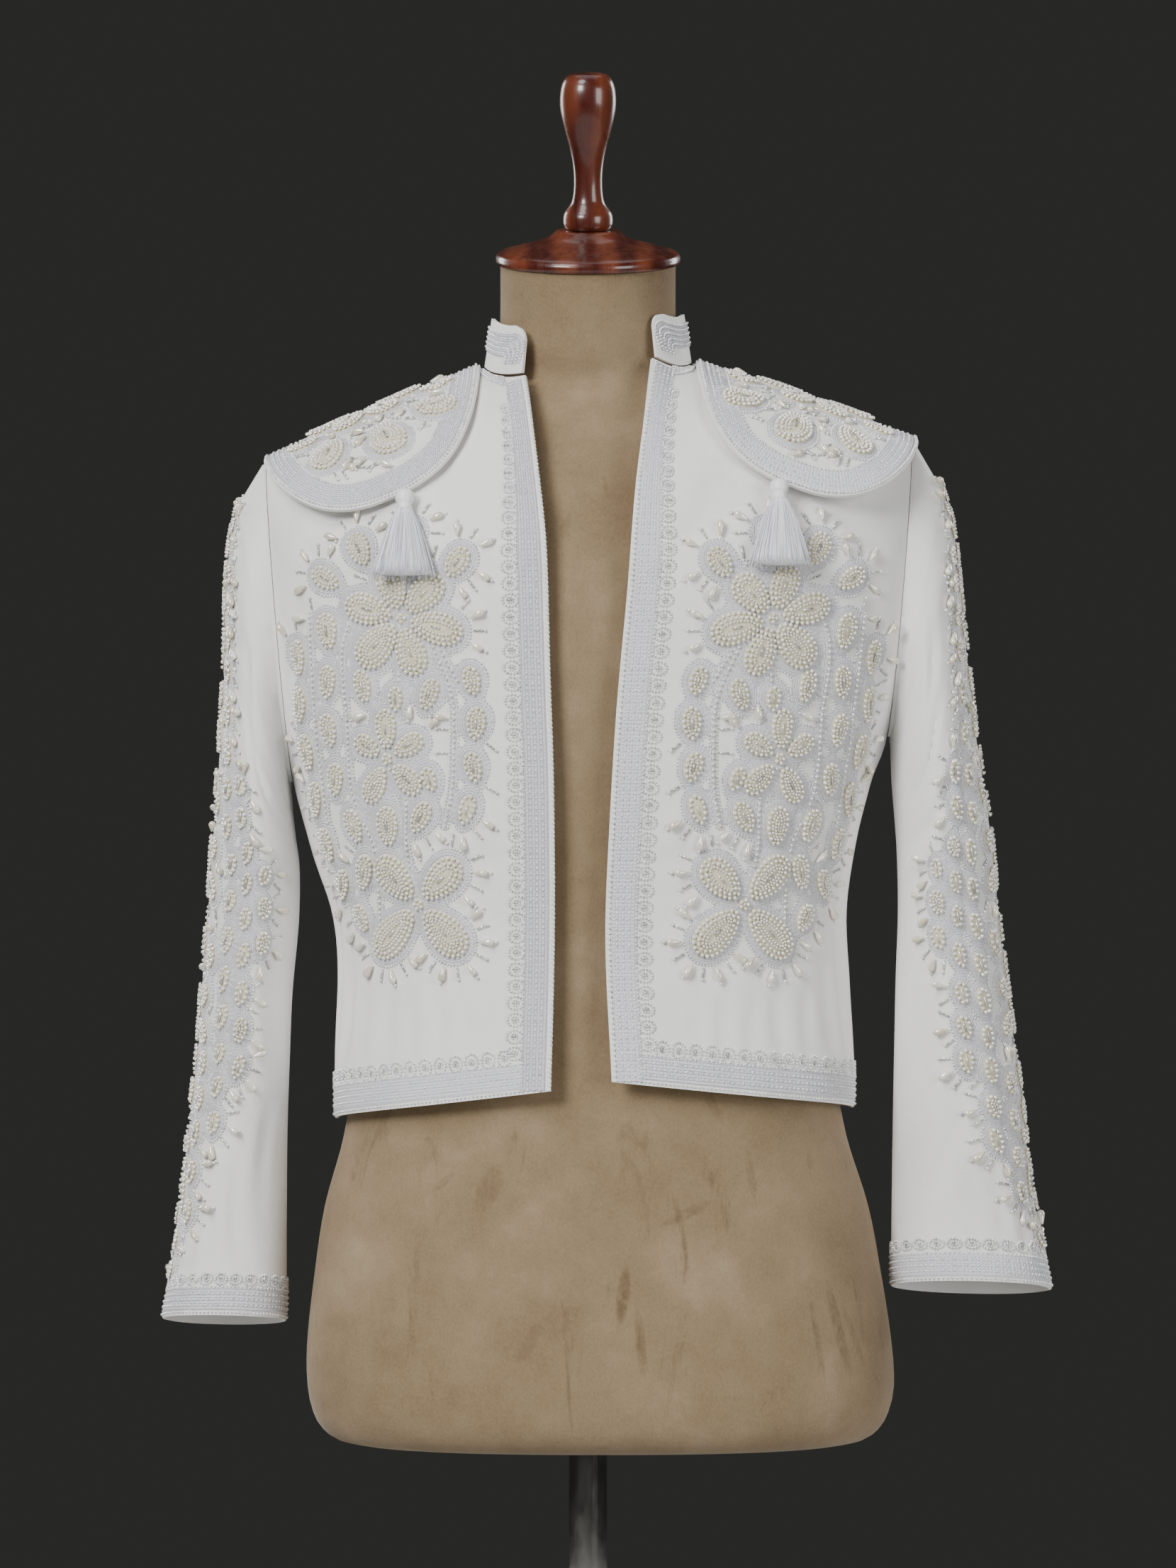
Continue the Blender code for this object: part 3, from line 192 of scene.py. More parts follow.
FORM = Table(
    ("height", "half_width", "front", "back", "sway", "slant", "power"),
    ((0.3720, 0.1740, 0.092, 0.098, 0.009, 0.0, 0.85),
     (0.3745, 0.1860, 0.101, 0.108, 0.009, 0.0, 0.85),
     (0.3815, 0.1960, 0.110, 0.117, 0.009, 0.0, 0.85),
     (0.3925, 0.2025, 0.115, 0.123, 0.009, 0.0, 0.85),
     (0.4110, 0.2065, 0.118, 0.127, 0.009, 0.0, 0.85),
     (0.4400, 0.2060, 0.118, 0.128, 0.008, 0.0, 0.85),
     (0.4875, 0.2000, 0.117, 0.123, 0.007, 0.0, 0.85),
     (0.5375, 0.1915, 0.114, 0.114, 0.006, 0.0, 0.85),
     (0.5875, 0.1770, 0.109, 0.103, 0.005, 0.0, 0.85),
     (0.6400, 0.1690, 0.105, 0.097, 0.004, 0.0, 0.85),
     (0.7000, 0.1640, 0.103, 0.093, 0.003, 0.0, 0.85),
     (0.7700, 0.1670, 0.107, 0.096, 0.001, 0.0, 0.85),
     (0.8400, 0.1770, 0.113, 0.104, 0.0, 0.0, 0.85),
     (0.9100, 0.1860, 0.1165, 0.109, 0.0, 0.0, 0.85),
     (0.9800, 0.1890, 0.114, 0.110, 0.0, 0.0, 0.86),
     (1.0200, 0.1860, 0.100, 0.1045, 0.0, 0.0, 0.88),
     (1.0480, 0.1780, 0.087, 0.0960, 0.0, 0.0, 0.90),
     (1.0660, 0.1645, 0.0755, 0.0880, 0.0, 0.0, 0.92),
     (1.0800, 0.1465, 0.0675, 0.0810, 0.0, 0.0, 0.95),
     (1.0920, 0.1305, 0.0615, 0.0740, 0.0, 0.0, 0.97),
     (1.1020, 0.1090, 0.0560, 0.0650, 0.0, 0.005, 1.0),
     (1.1100, 0.0910, 0.0515, 0.0560, 0.0, 0.015, 1.0),
     (1.1180, 0.0780, 0.0495, 0.0515, 0.0, 0.03, 1.0),
     (1.1260, 0.0665, 0.0500, 0.0545, 0.0, 0.05, 1.0),
     (1.1370, 0.0630, 0.0525, 0.0575, 0.0, 0.07, 1.0),
     (1.1650, 0.0618, 0.0550, 0.0585, 0.0, 0.13, 1.0),
     (1.2010, 0.0618, 0.0600, 0.0600, 0.0, 0.2126, 1.0)))

CAP_PROFILE = ((0.0, 0.0), (0.0630, 0.0), (0.0645, 0.0010), (0.0652, 0.0035), (0.0645, 0.0065),
               (0.0610, 0.0090), (0.0500, 0.0120), (0.0390, 0.0150), (0.0300, 0.0180),
               (0.0260, 0.0205), (0.0225, 0.0238), (0.0, 0.0240))
HANDLE_PROFILE = ((0.0, 0.0243), (0.0150, 0.0243), (0.0172, 0.0270), (0.0176, 0.0315),
                  (0.0168, 0.0360), (0.0140, 0.0400), (0.0112, 0.0450), (0.0100, 0.0550),
                  (0.0105, 0.0680), (0.0130, 0.0820), (0.0168, 0.0960), (0.0194, 0.1080),
                  (0.0197, 0.1180), (0.0180, 0.1270), (0.0140, 0.1325), (0.0100, 0.1340),
                  (0.0, 0.1343))
BASE_PROFILE = ((0.0, 0.0), (0.1670, 0.0), (0.1700, 0.0030), (0.1700, 0.0130), (0.1660, 0.0170),
                (0.1550, 0.0180), (0.0300, 0.0210), (0.0220, 0.0230), (0.0205, 0.0270),
                (0.0205, 0.0400), (0.0190, 0.0420), (0.0, 0.0420))

# Petals round one centre: direction, length and width of each
BLOOM = ((15, 0.044, 0.027), (75, 0.040, 0.026), (135, 0.042, 0.027),
         (195, 0.046, 0.028), (255, 0.042, 0.027), (315, 0.046, 0.030))
SPRAY = ((30, 0.030, 0.020), (90, 0.036, 0.021), (150, 0.032, 0.020),
         (225, 0.034, 0.022), (300, 0.036, 0.022))
CROSS = ((45, 0.046, 0.029), (135, 0.044, 0.028), (225, 0.049, 0.030), (315, 0.052, 0.030))
SPRIG = ((45, 0.026, 0.018), (135, 0.026, 0.018), (225, 0.030, 0.019), (315, 0.030, 0.019))
TIP = ((67.5, 0.020, 0.014), (112.5, 0.020, 0.014), (270, 0.034, 0.017))
CAPE = ((0, 0.046, 0.030), (60, 0.042, 0.027), (120, 0.042, 0.027),
        (180, 0.046, 0.030), (240, 0.042, 0.027), (300, 0.042, 0.027))
CHEST_FLOWERS = (("upper", 0.102, 0.948, BLOOM), ("middle", 0.116, 0.852, SPRAY),
                 ("lower", 0.096, 0.752, CROSS))
SLEEVE_FLOWERS = (("one", 0.004, 2.7, SPRIG), ("two", 0.004, 4.5, SPRIG), ("three", 0.010, 6.4, SPRIG),
                  ("four", 0.012, 8.3, SPRIG), ("five", 0.012, 10.4, TIP))
FLAP_FLOWER_ALONG = 0.088

TASSEL_ALONG = {"right": 0.083, "left": 0.082}
TASSEL_LEAN = 19.0
TASSEL_SEAT = (0.0, -0.0022, 0.0006)
TASSEL_STRANDS = 240


def mix(a, b, t):
    return a + (b - a) * t


def ease(t):
    t = min(max(t, 0.0), 1.0)
    return t * t * (3 - 2 * t)


def eased(values):
    values = np.clip(values, 0.0, 1.0)
    return values * values * (3 - 2 * values)


def unit(vectors):
    return vectors / np.maximum(np.linalg.norm(vectors, axis=-1, keepdims=True), 1e-12)


# The body panels, as in the solids

def armhole_edge(side, face, height):
    low, high = UNDERARM[side], SHOULDER[side]
    t = min(max((height - low["z"]) / (high["z"] - low["z"]), 0.0), 1.0)
    reach = ARM_REACH[face] * math.sqrt(max(0.0, 1 - (2 * t - 1) ** 2))
    return mix(low["x"], high["x"], t), reach


def panel_edge(side, face, height):
    if height > UNDERARM[side]["z"]:
        return armhole_edge(side, face, height)
    return BODY.at(height, "half_width") + SIDES[side] * BODY.at(height, "sway"), 0.0


def ridge_height(side, x):
    signed = SIDES[side] * min(x, NECK_HALF_WIDTH)
    neck = NECK_HEIGHT + NECK_TILT * signed
    if x <= NECK_HALF_WIDTH:
        return neck
    out = (x - NECK_HALF_WIDTH) / (SHOULDER[side]["x"] - NECK_HALF_WIDTH)
    return mix(neck, SHOULDER[side]["z"], out)


def section_angle(reach, depth):
    return math.acos(min(0.9, max(0.0, reach / max(depth, 1e-6))) ** (1 / SECTION_POWER))


SPACING_STEPS = 64
SPACING_DEPTH_RATIO = 0.60


def even_spacing():
    lengths = [0.0]
    last = (0.0, SPACING_DEPTH_RATIO)
    for i in range(1, SPACING_STEPS + 1):
        angle = math.pi / 2 * i / SPACING_STEPS
        here = (math.sin(angle) ** SECTION_POWER,
                SPACING_DEPTH_RATIO * max(0.0, math.cos(angle)) ** SECTION_POWER)
        lengths.append(lengths[-1] + math.dist(last, here))
        last = here
    return [length / lengths[-1] for length in lengths]


EVEN_LENGTHS = even_spacing()


def even(share):
    share = min(max(share, 0.0), 1.0)
    place = max(i for i in range(SPACING_STEPS) if EVEN_LENGTHS[i] <= share)
    part = (share - EVEN_LENGTHS[place]) / (EVEN_LENGTHS[place + 1] - EVEN_LENGTHS[place])
    return (place + part) / SPACING_STEPS


def even_inverse(angle_share):
    place = min(int(angle_share * SPACING_STEPS), SPACING_STEPS - 1)
    part = angle_share * SPACING_STEPS - place
    return mix(EVEN_LENGTHS[place], EVEN_LENGTHS[place + 1], part)


def hem_height(side, face, across):
    if face == "front":
        return mix(HEM[side]["front"], HEM[side]["side"], across)
    return mix(CENTRE_BACK_HEM, HEM[side]["side"], across)


def section_point(side, face, across, height, edge, depth):
    edge_x, edge_reach = edge
    end = section_angle(edge_reach, depth)
    angle = end * even(across)
    if face == "front":
        start_x = FRONT_EDGE[side].at(height, "x")
        start = math.asin(min(1.0, math.sin(end) * (start_x / edge_x) ** (1 / SECTION_POWER)))
        first = start / end
        angle = end * even(mix(even_inverse(first), 1.0, across))
    x = edge_x * (math.sin(angle) / math.sin(end)) ** SECTION_POWER
    reach = depth * max(0.0, math.cos(angle)) ** SECTION_POWER
    return x, reach


def panel_parts(side, face, across, up):
    if up <= 1:
        height = mix(hem_height(side, face, across), CHEST_LINE, up)
        edge = panel_edge(side, face, height)
        x, reach = section_point(side, face, across, height, edge, BODY.at(height, face))
        return x, reach, height
    turn = (up - 1) * top_turn(side, face, across)
    return shoulder_parts(side, face, across, turn)


def shoulder_parts(side, face, across, turn):
    power = SHOULDER_POWER[face]
    rise = math.sin(turn) ** power
    depth = BODY.at(CHEST_LINE, face) * max(0.0, math.cos(turn)) ** power
    end_height = mix(CHEST_LINE, SHOULDER[side]["z"], rise)
    start_height = mix(CHEST_LINE, NECK_HEIGHT, rise)
    edge = armhole_edge(side, face, end_height)
    x, reach = section_point(side, face, across, start_height, edge, max(depth, 1e-5))
    height = mix(CHEST_LINE, ridge_height(side, x), rise)
    return x, reach, height + neck_rise(side, face, x, reach)


def neck_rise(side, face, x, reach):
    if face == "back":
        return 0.0
    deep = reach / NECK_REACH[face, side]
    size = max(1.0, math.hypot(x / NECK_HALF_WIDTH, deep))
    away = (size - 1) * NECK_HALF_WIDTH / NECK_RISE_WIDTH
    return NECK_RISE[side] * max(0.0, 1 - away) ** 2 * (deep / size) ** 3


def neck_reach(side, face, x):
    inside = 1 - (x / NECK_HALF_WIDTH) ** 2
    return NECK_REACH[face, side] * math.sqrt(inside) if inside > 0 else 0.0


TOP_TURNS = {}


def top_turn(side, face, across):
    key = (side, face, round(across, 6))
    if key not in TOP_TURNS:
        low, high = 0.2, math.pi / 2
        for _ in range(30):
            middle = (low + high) / 2
            x, reach, _ = shoulder_parts(side, face, across, middle)
            if reach > neck_reach(side, face, x) + 1e-9:
                low = middle
            else:
                high = middle
        TOP_TURNS[key] = high
    return TOP_TURNS[key]


def panel_point(side, face, across, up):
    x, reach, height = panel_parts(side, face, across, up)
    forward = -1 if face == "front" else 1
    return (SIDES[side] * x, forward * max(reach, SEAM_HALF_GAP), height)


# The sleeves

def sleeve_fold(ring, turn):
    pull = 0.0
    for row in SLEEVE_FOLDS:
        fold = dict(zip(SLEEVE_FOLD_COLUMNS, row))
        around = (math.degrees(turn) - fold["turn"] + 180) % 360 - 180
        pull += fold["depth"] * math.exp(-(around / fold["width"]) ** 2
                                         - ((ring - fold["ring"]) / fold["length"]) ** 2)
    return pull


def sleeve_point(side, ring, turn):
    """Outer face of a sleeve. turn is 0 on the outer line, a quarter turn at the front."""
    sign = SIDES[side]
    if ring < 1:
        high, low = SHOULDER[side], UNDERARM[side]
        along = Vector((high["x"] - low["x"], 0, high["z"] - low["z"])).normalized()
        out = Vector((along.z, 0, -along.x)) * (SEAM_GAP + ring * SLEEVE_STAND)
        outer, inner = (high["x"], high["z"]), (low["x"], low["z"])
        front, back, pitch = ARM_REACH["front"], ARM_REACH["back"], 0.0
    else:
        table = SLEEVE[side]
        outer = table.at(ring, "outer_x"), table.at(ring, "outer_z")
        inner = table.at(ring, "inner_x"), table.at(ring, "inner_z")
        front, back = table.at(ring, "front"), table.at(ring, "back")
        pitch = table.at(ring, "pitch")
        out = Vector((0, 0, 0))
    middle = Vector((outer[0] + inner[0], 0, outer[1] + inner[1])) / 2 + out
    half = Vector((outer[0] - inner[0], 0, outer[1] - inner[1])) / 2
    pull = sleeve_fold(ring, turn) if ring >= 1 else 0.0
    half *= (half.length - pull) / half.length
    reach = (front if math.sin(turn) > 0 else back) - pull
    place = middle + half * math.cos(turn) + Vector((0, -reach, pitch)) * math.sin(turn)
    return (sign * place.x, place.y, place.z)


def sleeve_size(side, ring):
    """The mean half width that turns an angle round the sleeve into a length."""
    a, b = Vector(sleeve_point(side, ring, 0.0)), Vector(sleeve_point(side, ring, math.pi))
    return ((a - b).length / 2 + SLEEVE[side].at(ring, "front")) / 2


# The collar and flaps

def neckline_height(side, face, x):
    low, high = 0.0, 1.0
    for _ in range(24):
        middle = (low + high) / 2
        if panel_parts(side, face, middle, 2.0)[0] < x:
            low = middle
        else:
            high = middle
    return panel_parts(side, face, low, 2.0)[2]


def collar_point(turn, rise):
    side = "left" if turn > 0 else "right"
    front_turn = math.radians(180 - COLLAR_FRONT_ANGLE[side])
    corner = COLLAR_CORNER / NECK_HALF_WIDTH
    low = max(0.0, 1 - COLLAR_CORNER / COLLAR_HEIGHT)
    cut = max(0.0, (rise - low) / (1 - low))
    end = front_turn - corner * (1 - math.sqrt(max(0.0, 1 - cut * cut)))
    angle = turn * end
    face = "back" if abs(angle) < math.pi / 2 else "front"
    blend = ease((abs(angle) - math.radians(70)) / math.radians(40))
    reach = mix(NECK_REACH["back", side], NECK_REACH["front", side], blend)
    lean = COLLAR_LEAN * rise
    x = (NECK_HALF_WIDTH - lean) * math.sin(angle)
    y = (reach - lean) * math.cos(angle)
    foot = neckline_height(side, face, abs(NECK_HALF_WIDTH * math.sin(angle)))
    return (x, y, foot + COLLAR_SEAT + COLLAR_HEIGHT * rise)


def flap_bend(across):
    first, last = FLAP_BEND["front" if across > 0 else "back"]
    steps = 24
    length = abs(across) / steps
    reach = drop = 0.0
    for i in range(steps):
        angle = math.radians(mix(first, last, (i + 0.5) * length / FLAP_HALF_DROP))
        reach += math.cos(angle) * length
        drop += math.sin(angle) * length
    return reach, drop


def flap_point(side, along, across, bend=None):
    sign = SIDES[side]
    start = Vector((FLAP_START, 0, ridge_height(side, FLAP_START) + FLAP_LIFT))
    end = Vector((SHOULDER[side]["x"], 0, SHOULDER[side]["z"] + FLAP_LIFT))
    line = (end - start).normalized()
    down = Vector((-abs(line.z), 0, -line.x))
    reach, drop = bend or flap_bend(across)
    place = start + line * along + down * drop
    return (sign * place.x, -math.copysign(reach, across), place.z)


def flap_outline(share, turn):
    c, s = np.cos(turn), np.sin(turn)
    power = 2 / FLAP_CORNER_POWER
    along = FLAP_LENGTH / 2 * np.sign(c) * np.abs(c) ** power
    across = FLAP_HALF_DROP * np.sign(s) * np.abs(s) ** power
    skew = FLAP_SKEW * (np.abs(across) / FLAP_HALF_DROP)
    return np.stack([FLAP_LENGTH / 2 + (along + skew) * share, across * share], axis=-1)


# A panel that can be read anywhere

class Cloth:
    """A panel as a grid of points, each with its place in metres along the cloth."""

    def __init__(self, points, across, up, outward):
        self.points = np.array(points, float)
        self.across = np.array(across, float)
        self.up = np.array(up, float)
        self.outward = outward
        self.set_normals()

    def set_normals(self):
        east = np.gradient(self.points, axis=1)
        north = np.gradient(self.points, axis=0)
        normals = unit(np.cross(east, north))
        facing = (normals * self.outward(self.points)).sum()
        self.normals = normals if facing > 0 else -normals

    def crease(self, relief):
        """Moves the cloth out by relief, metres at each grid point."""
        self.points += self.normals * relief[..., None]
        self.set_normals()

    def read(self, field, row, column):
        rows, columns = field.shape[:2]
        r = np.clip(np.floor(row).astype(int), 0, rows - 2)
        c = np.clip(np.floor(column).astype(int), 0, columns - 2)
        fr, fc = np.clip(row - r, 0, 1), np.clip(column - c, 0, 1)
        if field.ndim == 3:
            fr, fc = fr[..., None], fc[..., None]
        low = field[r, c] * (1 - fc) + field[r, c + 1] * fc
        high = field[r + 1, c] * (1 - fc) + field[r + 1, c + 1] * fc
        return low * (1 - fr) + high * fr

    def find(self, across, up):
        """The grid place of points given in metres along the cloth."""
        rows, columns = self.across.shape
        row = np.interp(up, self.up[:, columns // 2], np.arange(rows))
        column = np.interp(across, self.across[rows // 2], np.arange(columns))
        for _ in range(14):
            left, right = np.clip(column - 0.5, 0, columns - 1), np.clip(column + 0.5, 0, columns - 1)
            rise = self.read(self.across, row, right) - self.read(self.across, row, left)
            slope = rise / (right - left)
            step = (across - self.read(self.across, row, column)) / np.maximum(slope, 1e-5)
            column = np.clip(column + np.clip(step, -9, 9), 0, columns - 1)
            low, high = np.clip(row - 0.5, 0, rows - 1), np.clip(row + 0.5, 0, rows - 1)
            rise = self.read(self.up, high, column) - self.read(self.up, low, column)
            slope = rise / (high - low)
            step = (up - self.read(self.up, row, column)) / np.maximum(slope, 1e-5)
            row = np.clip(row + np.clip(step, -9, 9), 0, rows - 1)
        return row, column

    def frames(self, places):
        """Point and normal at places given as (across, up) in metres."""
        row, column = self.find(places[..., 0], places[..., 1])
        return self.read(self.points, row, column), unit(self.read(self.normals, row, column))

    def lay(self, places, lift):
        here, normal = self.frames(places)
        return here + normal * np.broadcast_to(lift, places.shape[:-1])[..., None]


def lengths_along(points, axis):
    """Distance from the first point along rows or columns of a grid."""
    steps = np.linalg.norm(np.diff(points, axis=axis), axis=-1)
    first = np.zeros_like(np.take(steps, [0], axis=axis))
    return np.concatenate([first, np.cumsum(steps, axis=axis)], axis=axis)


CREASE_DEPTH = 2.0


def troughs(across, up, table):
    """Soft uneven troughs, each with a low ridge on both sides, in metres."""
    relief = np.zeros_like(across)
    for place_across, place_up, direction, length, width, depth in table:
        turn = math.radians(direction)
        a, b = across - place_across * MM, up - place_up * MM
        along = a * math.cos(turn) + b * math.sin(turn)
        bend = 0.12 * along * along / (length * MM)
        aside = -a * math.sin(turn) + b * math.cos(turn) + bend
        x, y = aside / (width * MM), along / (length * MM)
        relief -= CREASE_DEPTH * depth * MM * (1 - 1.1 * x * x) * np.exp(-x * x - y * y)
    return relief


def unevenness(across, up, size, depth, phase):
    """A faint all-over waviness."""
    a, b = across / size, up / size
    return depth * (np.sin(1.7 * a + 0.9 * b + phase) * np.cos(1.3 * b - 0.6 * a + 2.1 * phase)
                    + 0.5 * np.sin(3.1 * a - 2.3 * b + 0.7 * phase))


# Creases of each panel, in millimetres along the cloth:
# across, up, direction, length, width, depth

FRONT_CREASES = (
    (62, 668, 86, 20, 6, 0.7), (80, 662, 94, 26, 7, 0.9), (101, 668, 84, 22, 6, 0.7),
    (122, 664, 97, 30, 8, 1.1), (146, 672, 88, 26, 7, 0.9), (168, 676, 99, 40, 9, 1.5),
    (192, 700, 93, 62, 10, 2.0), (52, 742, 4, 22, 6, 0.6), (49, 784, -7, 24, 7, 0.7),
    (50, 823, 6, 20, 6, 0.5), (48, 868, -4, 26, 7, 0.6), (46, 905, 9, 20, 6, 0.5),
    (205, 800, 78, 60, 11, 1.8), (60, 1035, 52, 46, 13, 0.9), (52, 1012, 38, 30, 10, 0.6),
    (196, 905, 112, 56, 12, 1.6), (150, 1030, 128, 44, 12, 1.0), (36, 648, 12, 24, 6, 0.5))
BACK_CREASES = (
    (-128, 660, 84, 42, 10, 1.4), (-84, 654, 97, 34, 9, 1.0), (-35, 650, 88, 26, 8, 0.8),
    (24, 652, 94, 36, 9, 1.1), (71, 656, 82, 30, 8, 0.9), (136, 664, 98, 46, 11, 1.5),
    (-60, 742, 62, 70, 15, 1.6), (66, 748, 118, 64, 14, 1.5), (-2, 735, 91, 80, 13, 1.3),
    (-150, 850, 118, 66, 14, 1.9), (152, 858, 64, 70, 14, 1.8), (-108, 930, 132, 60, 14, 1.3),
    (112, 936, 50, 56, 13, 1.3), (-70, 1010, 18, 62, 12, 0.9), (64, 1020, -14, 58, 12, 0.9),
    (-186, 760, 84, 70, 12, 1.7), (188, 768, 96, 66, 12, 1.7))
# Sleeves: across forward of the outer line, up is the distance down from the shoulder
SLEEVE_CREASES = {
    "right": (
        (96, 214, 62, 34, 9, 1.8), (88, 262, 40, 30, 9, 1.4), (112, 306, 24, 34, 9, 1.5),
        (-92, 228, 118, 38, 10, 1.8), (-100, 300, 150, 36, 10, 1.7), (-86, 350, 20, 34, 9, 1.2),
        (58, 560, 86, 30, 7, 1.2), (40, 568, 97, 26, 6, 1.0), (74, 552, 80, 34, 8, 1.2),
        (22, 572, 88, 22, 6, 0.9), (6, 566, 95, 28, 6, 0.9), (-18, 560, 84, 30, 7, 1.0),
        (-48, 556, 96, 34, 8, 1.1), (-84, 470, 70, 50, 11, 1.4), (104, 420, 78, 56, 11, 1.3),
        (96, 140, 104, 40, 11, 1.4), (-96, 150, 78, 44, 11, 1.4), (100, 500, 100, 40, 9, 1.1)),
    "left": (
        (98, 220, 58, 36, 9, 1.7), (86, 272, 34, 32, 9, 1.5), (110, 318, 18, 32, 9, 1.3),
        (-90, 236, 124, 36, 10, 1.7), (-98, 306, 146, 38, 10, 1.6), (-84, 362, 14, 32, 9, 1.3),
        (52, 556, 92, 28, 7, 1.1), (33, 566, 84, 30, 6, 1.1), (70, 560, 98, 26, 7, 1.0),
        (14, 570, 95, 24, 6, 0.9), (-4, 562, 86, 30, 7, 1.0), (-30, 558, 97, 28, 7, 0.9),
        (-58, 552, 82, 36, 8, 1.2), (-80, 462, 66, 46, 11, 1.3), (100, 410, 84, 52, 11, 1.4),
        (98, 148, 98, 42, 11, 1.3), (-98, 142, 84, 40, 11, 1.5), (84, 506, 76, 36, 9, 1.0))}
# Flaps: along the shoulder and forward
FLAP_CREASES = (
    (46, 62, 35, 14, 6, 0.8), (74, 88, -20, 16, 6, 0.9), (110, 84, 15, 14, 6, 0.8),
    (132, 52, 70, 16, 6, 0.8), (34, 30, 80, 14, 6, 0.7), (128, 20, 50, 12, 5, 0.7),
    (48, -60, -30, 15, 6, 0.8), (82, -90, 18, 17, 6, 0.9), (112, -82, -24, 14, 6, 0.8),
    (134, -48, -66, 16, 6, 0.8), (33, -28, 100, 14, 6, 0.7), (60, 98, 8, 16, 6, 0.7),
    (100, 60, -40, 12, 5, 0.6), (62, -38, 60, 12, 5, 0.6))

FRONT_STEPS, SHOULDER_STEPS, FRONT_COLUMNS = 52, 30, 46


def panel_ups():
    return ([i / FRONT_STEPS for i in range(FRONT_STEPS)]
            + [1 + i / SHOULDER_STEPS for i in range(SHOULDER_STEPS + 1)])


def panel_heights(points, ups):
    """Height below the chest line, and the length up the cloth above it."""
    up = points[..., 2].copy()
    above = [i for i, value in enumerate(ups) if value >= 1]
    climbed = lengths_along(points[above], 0)
    up[above] = CHEST_LINE + climbed
    return up


def front_cloth(side):
    ups = panel_ups()
    shares = np.linspace(0, 1, FRONT_COLUMNS + 1)
    points = np.array([[panel_point(side, "front", s, up) for s in shares] for up in ups])
    cloth = Cloth(points, lengths_along(points, 1), panel_heights(points, ups),
                  lambda p: p * (1, 1, 0))
    fade = eased((1 - shares) / 0.07)[None, :] * eased((2 - np.array(ups)) / 0.10)[:, None]
    relief = troughs(cloth.across, cloth.up, FRONT_CREASES)
    relief += unevenness(cloth.across, cloth.up, 0.030, 0.00022, 1.0 + SIDES[side])
    cloth.crease(relief * fade)
    return cloth


def back_cloth():
    ups = np.array(panel_ups())
    shares = np.linspace(-1, 1, 2 * FRONT_COLUMNS + 1)
    rows = []
    for up in ups:
        rows.append([panel_point("left" if s >= 0 else "right", "back", abs(s), up) for s in shares])
    points = np.array(rows)
    across = lengths_along(points, 1)
    across -= across[:, FRONT_COLUMNS][:, None]
    cloth = Cloth(points, across, panel_heights(points, ups), lambda p: p * (1, 1, 0))
    fade = eased((1 - np.abs(shares)) / 0.07)[None, :] * eased((2 - ups) / 0.10)[:, None]
    relief = troughs(cloth.across, cloth.up, BACK_CREASES)
    relief += unevenness(cloth.across, cloth.up, 0.034, 0.00025, 2.6)
    cloth.crease(relief * fade)
    return cloth


SLEEVE_ROWS, SLEEVE_SPOKES = 84, 64


def sleeve_cloth(side):
    rings = np.concatenate([[0.0, 0.5], np.linspace(0.9, SLEEVE_END, SLEEVE_ROWS)])
    turns = np.linspace(-math.pi, math.pi, SLEEVE_SPOKES + 1)
    points = np.array([[sleeve_point(side, ring, turn) for turn in turns] for ring in rings])
    sizes = np.array([sleeve_size(side, max(ring, 1)) for ring in rings])
    across = turns[None, :] * sizes[:, None]
    up = np.repeat(rings[:, None] * RING_PITCH, len(turns), axis=1)
    cloth = Cloth(points, across, up, lambda p: (p - (SIDES[side] * 0.235, 0, 0)) * (1, 1, 0))
    fade = (eased((rings - 1.2) / 1.2)[:, None]
            * eased((math.pi - np.abs(turns)) / math.radians(28))[None, :])
    relief = troughs(across, up, SLEEVE_CREASES[side])
    relief += unevenness(across, up, 0.030, 0.00025, 0.4 + SIDES[side])
    cloth.crease(relief * fade)
    return cloth


def flap_cloth(side):
    alongs = np.linspace(-0.010, 0.185, 66)
    acrosses = np.linspace(-0.136, 0.136, 92)
    bends = [flap_bend(across) for across in acrosses]
    points = np.array([[flap_point(side, along, across, bend) for along in alongs]
                       for across, bend in zip(acrosses, bends)])
    along, across = np.meshgrid(alongs, acrosses)
    hub = np.array((SIDES[side] * 0.140, 0, 1.02))
    cloth = Cloth(points, along, across, lambda p: p - hub)
    cloth.crease(troughs(along, across, FLAP_CREASES)
                 + unevenness(along, across, 0.016, 0.00018, 0.7 + SIDES[side]))
    return cloth


def collar_cloth():
    turns = np.linspace(-1, 1, 121)
    rises = np.linspace(0, 1, 13)
    points = np.array([[collar_point(turn, rise) for turn in turns] for rise in rises])
    across = lengths_along(points, 1)
    across -= across[:, 60][:, None]
    up = np.repeat(rises[:, None] * COLLAR_HEIGHT, len(turns), axis=1)
    return Cloth(points, across, up, lambda p: p * (1, 1, 0))


# Materials

